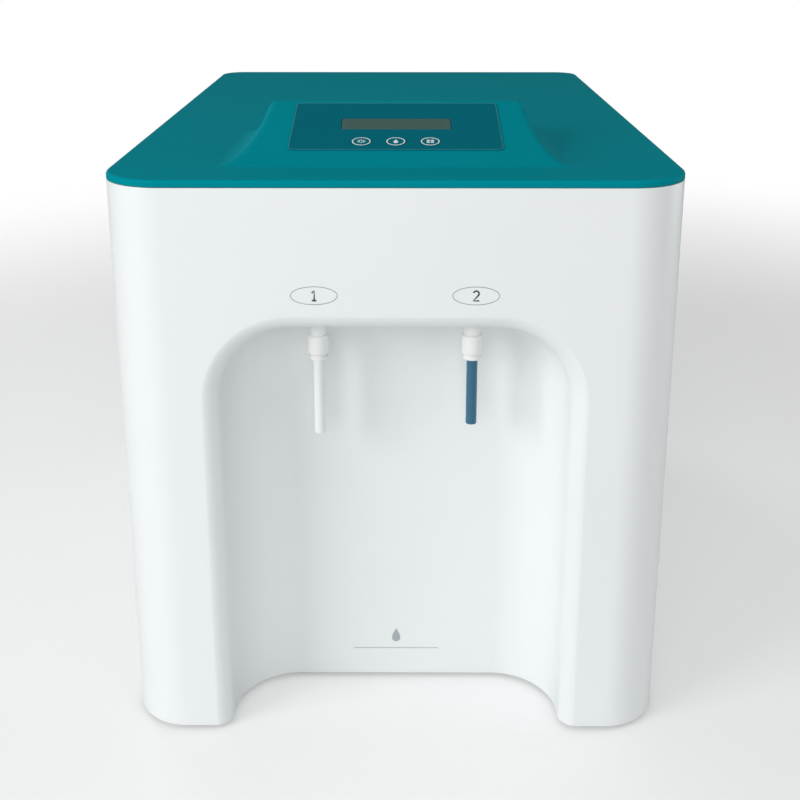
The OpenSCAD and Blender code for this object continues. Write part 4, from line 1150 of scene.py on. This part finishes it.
@dataclass
class RearFittings(SubAssembly):
    """The rear panel with its ports, mains inlet, switch and screws.

    Attributes:
        edge: Soft edge of the panel and the fittings.
        pin_edge: Soft edge of the inlet's pins.
        screw_reach: Corners this near to each other belong to one screw.
        slot_width: Width of a screw's cross recess.
        slot_depth: Depth of that recess.
        bar_height: Height of the line on the rocker.
        circle_size: Width and height of the circle on the rocker.
        mark_shares: How far up the rocker the line and the circle lie, in heights of it.
        mark_line: Width of their strokes.
        print_depth: Thickness of a print.
    """

    edge: float = 0.0003
    pin_edge: float = 0.0002
    screw_reach: float = 0.02
    slot_width: float = 0.0009
    slot_depth: float = 0.001
    bar_height: float = 0.0034
    circle_size: tuple[float, float] = (0.00272, 0.0034)
    mark_shares: tuple[float, float] = (0.75, 0.25)
    mark_line: float = 0.0006
    print_depth: float = 0.00006

    def build(self) -> None:
        """Builds the sub-assembly."""
        self.dress_all(self.edge, "rear_panel")
        for node in ("feed", "drain", "tank"):
            self.dress_all(self.edge, f"{node}_port", f"{node}_collet")
        self.dress_all(0.0, "port_nuts")
        self.dress_all(self.edge, "mains_inlet")
        self.dress_all(self.pin_edge, "inlet_pins")
        self.dress_all(self.edge, "switch_frame", "power_rocker")
        self.rocker_marks()
        self.screw_heads()

    def rocker_marks(self) -> None:
        """Prints the line and the circle of on and off on the rocker."""
        shop = self.shop
        probe = shop.probe("power_rocker")
        body = shop.nodes["power_rocker"]["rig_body"]
        low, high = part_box("power_rocker")
        half = self.bar_height / 2
        bar = shop.line([[(0.0, -half), (0.0, half)]], self.mark_line, self.print_depth)
        circle = shop.line([ellipse(*self.circle_size)], self.mark_line, self.print_depth, True)
        marks = zip(("rocker_on", "rocker_off"), (bar, circle), self.mark_shares)
        for name, mark, share in marks:
            start = Vector(((low.x + high.x) / 2, 2 * high.y, low.z + share * (high.z - low.z)))
            spot, out = probe.ray_cast(start, FRONT)[:2]
            up = (UP - out * UP.dot(out)).normalized()
            place = frame_at(spot + out * self.print_depth / 2, up, out)
            shop.lay_print_or_highlight(name, mark, place, body, PRINT_WHITE, "fitting_white")

    def screw_heads(self) -> None:
        """Gives the rear panel's screws heads with a cross recess."""
        corners = [v.co for v in self.shop.nodes["rear_screws"].data.vertices]
        reach = max(c.y for c in corners)
        screws: list[list[Vector]] = []
        for top in [c for c in corners if c.y > reach - FLAT]:
            near = [s for s in screws if (s[0] - top).length < self.screw_reach]
            if near:
                near[0].append(top)
            else:
                screws.append([top])
        radius = max((a - b).length for a in screws[0] for b in screws[0]) / 2
        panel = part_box("rear_panel")[1].y
        centres = []
        for group in screws:
            xs, zs = [c.x for c in group], [c.z for c in group]
            centres.append(((min(xs) + max(xs)) / 2, panel, (min(zs) + max(zs)) / 2))
        base = bpy.data.meshes.new("screw_places")
        base.from_pydata(centres, [], [])
        slots = {"slot_width": self.slot_width, "slot_depth": self.slot_depth}
        heads = screw_tree().run(
            base, radius=radius, height=reach - panel, facing=tuple(REAR), **slots
        )
        finish = FINISHES["screw_steel"]
        piece = self.shop.piece("rear_screw_heads", heads, "cabinet", finish, "screw_steel")
        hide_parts("rear_screws")


@dataclass
class Inside(SubAssembly):
    """The filters, the pump, the valves and the electrics under the lid.

    Attributes:
        round_smooth: Largest angle that is shaded as one surface on round pieces, in degrees.
        round_nodes: Pieces with many flat sides, which are shaded as round.
        nodes: The other pieces.
    """

    round_smooth: float = 58.0
    round_nodes: tuple[str, ...] = ("hoses", "filter_loops")
    nodes: tuple[str, ...] = (
        "filter_rack", "rack_clips", "sediment_filter", "carbon_filter", "block_filter",
        "polish_filter_1", "polish_filter_2", "membrane_housing", "membrane_cap", "reactor",
        "reactor_caps", "pump_motor", "pump_head", "pump_bracket", "pump_grommets", "inlet_valve",
        "flush_valve", "dispense_valve_1", "dispense_valve_2", "valve_bracket", "manifold",
        "sensor_cell", "power_supply", "main_board",
    )

    def build(self) -> None:
        """Builds the sub-assembly."""
        self.dress_all(0.0, *self.nodes)
        for node in self.round_nodes:
            self.shop.dress(node, smooth=self.round_smooth)


@dataclass
class Lamp:
    """A soft square lamp that looks at the object.

    Attributes:
        name: Name of the lamp.
        spot: Where it stands.
        power: Its power in watts.
        size: Length of its sides.
        aim: Where it looks.
        mirrored: Whether glossy surfaces mirror it.
    """

    name: str
    spot: tuple[float, float, float]
    power: float
    size: float
    aim: tuple[float, float, float] = (0.0, 0.0, 0.2)
    mirrored: bool = True

    def build(self) -> None:
        """Adds the lamp."""
        light = bpy.data.lights.new(self.name, "AREA")
        light.energy = self.power
        light.size = self.size
        made = add_object(self.name, light)
        made.location = self.spot
        made.visible_glossy = self.mirrored
        look = Vector(self.aim) - Vector(self.spot)
        made.rotation_euler = look.to_track_quat("-Z", "Y").to_euler()


@dataclass
class Studio:
    """A pale floor, a white surround, soft lamps and the camera.

    Attributes:
        lamps: The lamps.
        ambient: Strength of the surround's light.
        floor_radius: Radius of the floor.
        floor_sides: Number of the floor's sides.
        floor_fade: Where the floor starts and ends to fade into the surround.
        floor_alpha: How solid the floor is where it hasn't begun to fade.
        floor_colour: Colour of the floor.
        floor_roughness: Roughness of the floor.
        floor_specular: Level of the floor's plain reflection.
        camera_spot: Where the camera stands.
        camera_pitch: How far it looks down, in degrees.
        camera_yaw: How far it turns to the left, in degrees.
        camera_near: Distance from which it sees.
        lens_mm: Focal length.
        sensor_mm: Width of the sensor.
        shift: Vertical shift of the picture, in widths.
    """

    lamps: list[Lamp] = field(
        default_factory=lambda: [
            Lamp("Key", (-1.7, -1.3, 0.98), 24.5, 1.0),
            Lamp("Front", (-0.3, -2.1, 0.78), 11.6, 1.2),
            Lamp("Top", (0.0, -0.6, 1.9), 8.5, 1.4),
            Lamp("Fill", (1.6, -1.5, 0.6), 5.5, 1.4),
            Lamp("Rim", (1.8, 0.4, 0.4), 9.5, 1.0),
            Lamp("Back", (-1.3, 1.7, 0.6), 16.0, 0.9, mirrored=False),
        ]
    )
    ambient: float = 0.17
    floor_radius: float = 2.4
    floor_sides: int = 64
    floor_fade: tuple[float, float] = (0.6, 1.5)
    floor_alpha: float = 0.7
    floor_colour: str = "F2F3F3"
    floor_roughness: float = 0.9
    floor_specular: float = 0.1
    camera_spot: tuple[float, float, float] = (0.0053, -0.8367, 0.4697)
    camera_pitch: float = 15.82
    camera_yaw: float = 0.25
    camera_near: float = 0.01
    lens_mm: float = 51.75
    sensor_mm: float = 36.0
    shift: float = -0.185

    def build(self) -> None:
        """Builds the studio."""
        self.surround()
        self.floor()
        for lamp in self.lamps:
            lamp.build()
        self.camera()
        bpy.context.scene.view_settings.view_transform = "Standard"

    def surround(self) -> None:
        """Makes the surround white to the camera and soft to the object."""
        world = bpy.data.worlds.new("Surround")
        world.use_nodes = True
        tree = world.node_tree
        soft = tree.nodes["Background"]
        feed(tree, soft, {"Color": WHITE, "Strength": self.ambient})
        white = add_node(tree, "ShaderNodeBackground", {"Color": WHITE})
        seen = add_node(tree, "ShaderNodeLightPath").outputs["Is Camera Ray"]
        parts = {"Fac": seen, 1: soft.outputs[0], 2: white.outputs[0]}
        mix = add_node(tree, "ShaderNodeMixShader", parts)
        feed(tree, tree.nodes["World Output"], {"Surface": mix.outputs[0]})
        bpy.context.scene.world = world

    def floor(self) -> None:
        """Lays a pale floor that fades into the surround."""
        mesh = bpy.data.meshes.new("floor")
        width = 2 * self.floor_radius
        corners = [(x, y, 0.0) for x, y in ellipse(width, width, self.floor_sides)]
        mesh.from_pydata(corners, [], [tuple(range(self.floor_sides))])
        material = bpy.data.materials.new("Pale floor")
        material.use_nodes = True
        tree = material.node_tree
        place = add_node(tree, "ShaderNodeTexCoord").outputs["Object"]
        length = add_node(tree, "ShaderNodeVectorMath", {0: place}, operation="LENGTH")
        reach = {
            "Value": length.outputs["Value"],
            "From Min": self.floor_fade[0],
            "From Max": self.floor_fade[1],
            "To Min": self.floor_alpha,
            "To Max": 0.0,
        }
        fade = add_node(tree, "ShaderNodeMapRange", reach, interpolation_type="SMOOTHSTEP")
        looks = {
            "Base Color": linear(self.floor_colour),
            "Roughness": self.floor_roughness,
            "Specular IOR Level": self.floor_specular,
            "Alpha": fade.outputs["Result"],
        }
        feed(tree, tree.nodes["Principled BSDF"], looks)
        mesh.materials.append(material)
        add_object("floor", mesh)

    def camera(self) -> None:
        """Sets the camera."""
        lens = bpy.data.cameras.new("Camera")
        lens.lens = self.lens_mm
        lens.sensor_width = self.sensor_mm
        lens.sensor_fit = "HORIZONTAL"
        lens.shift_y = self.shift
        lens.clip_start = self.camera_near
        made = add_object("Camera", lens)
        made.location = self.camera_spot
        pitch, yaw = math.radians(90.0 - self.camera_pitch), math.radians(self.camera_yaw)
        made.rotation_euler = (pitch, 0.0, yaw)
        bpy.context.scene.camera = made


def main() -> None:
    """Builds the object and its studio."""
    logging.basicConfig(level=logging.INFO, format="%(name)s: %(message)s")
    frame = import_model()
    shop = Workshop(frame)
    for kind in (Cabinet, Lid, ControlPanel, Outlets, RearFittings, Inside):
        kind(shop).build()
        LOG.info("%s is built", kind.__name__)
    Studio().build()


if __name__ == "__main__":
    main()
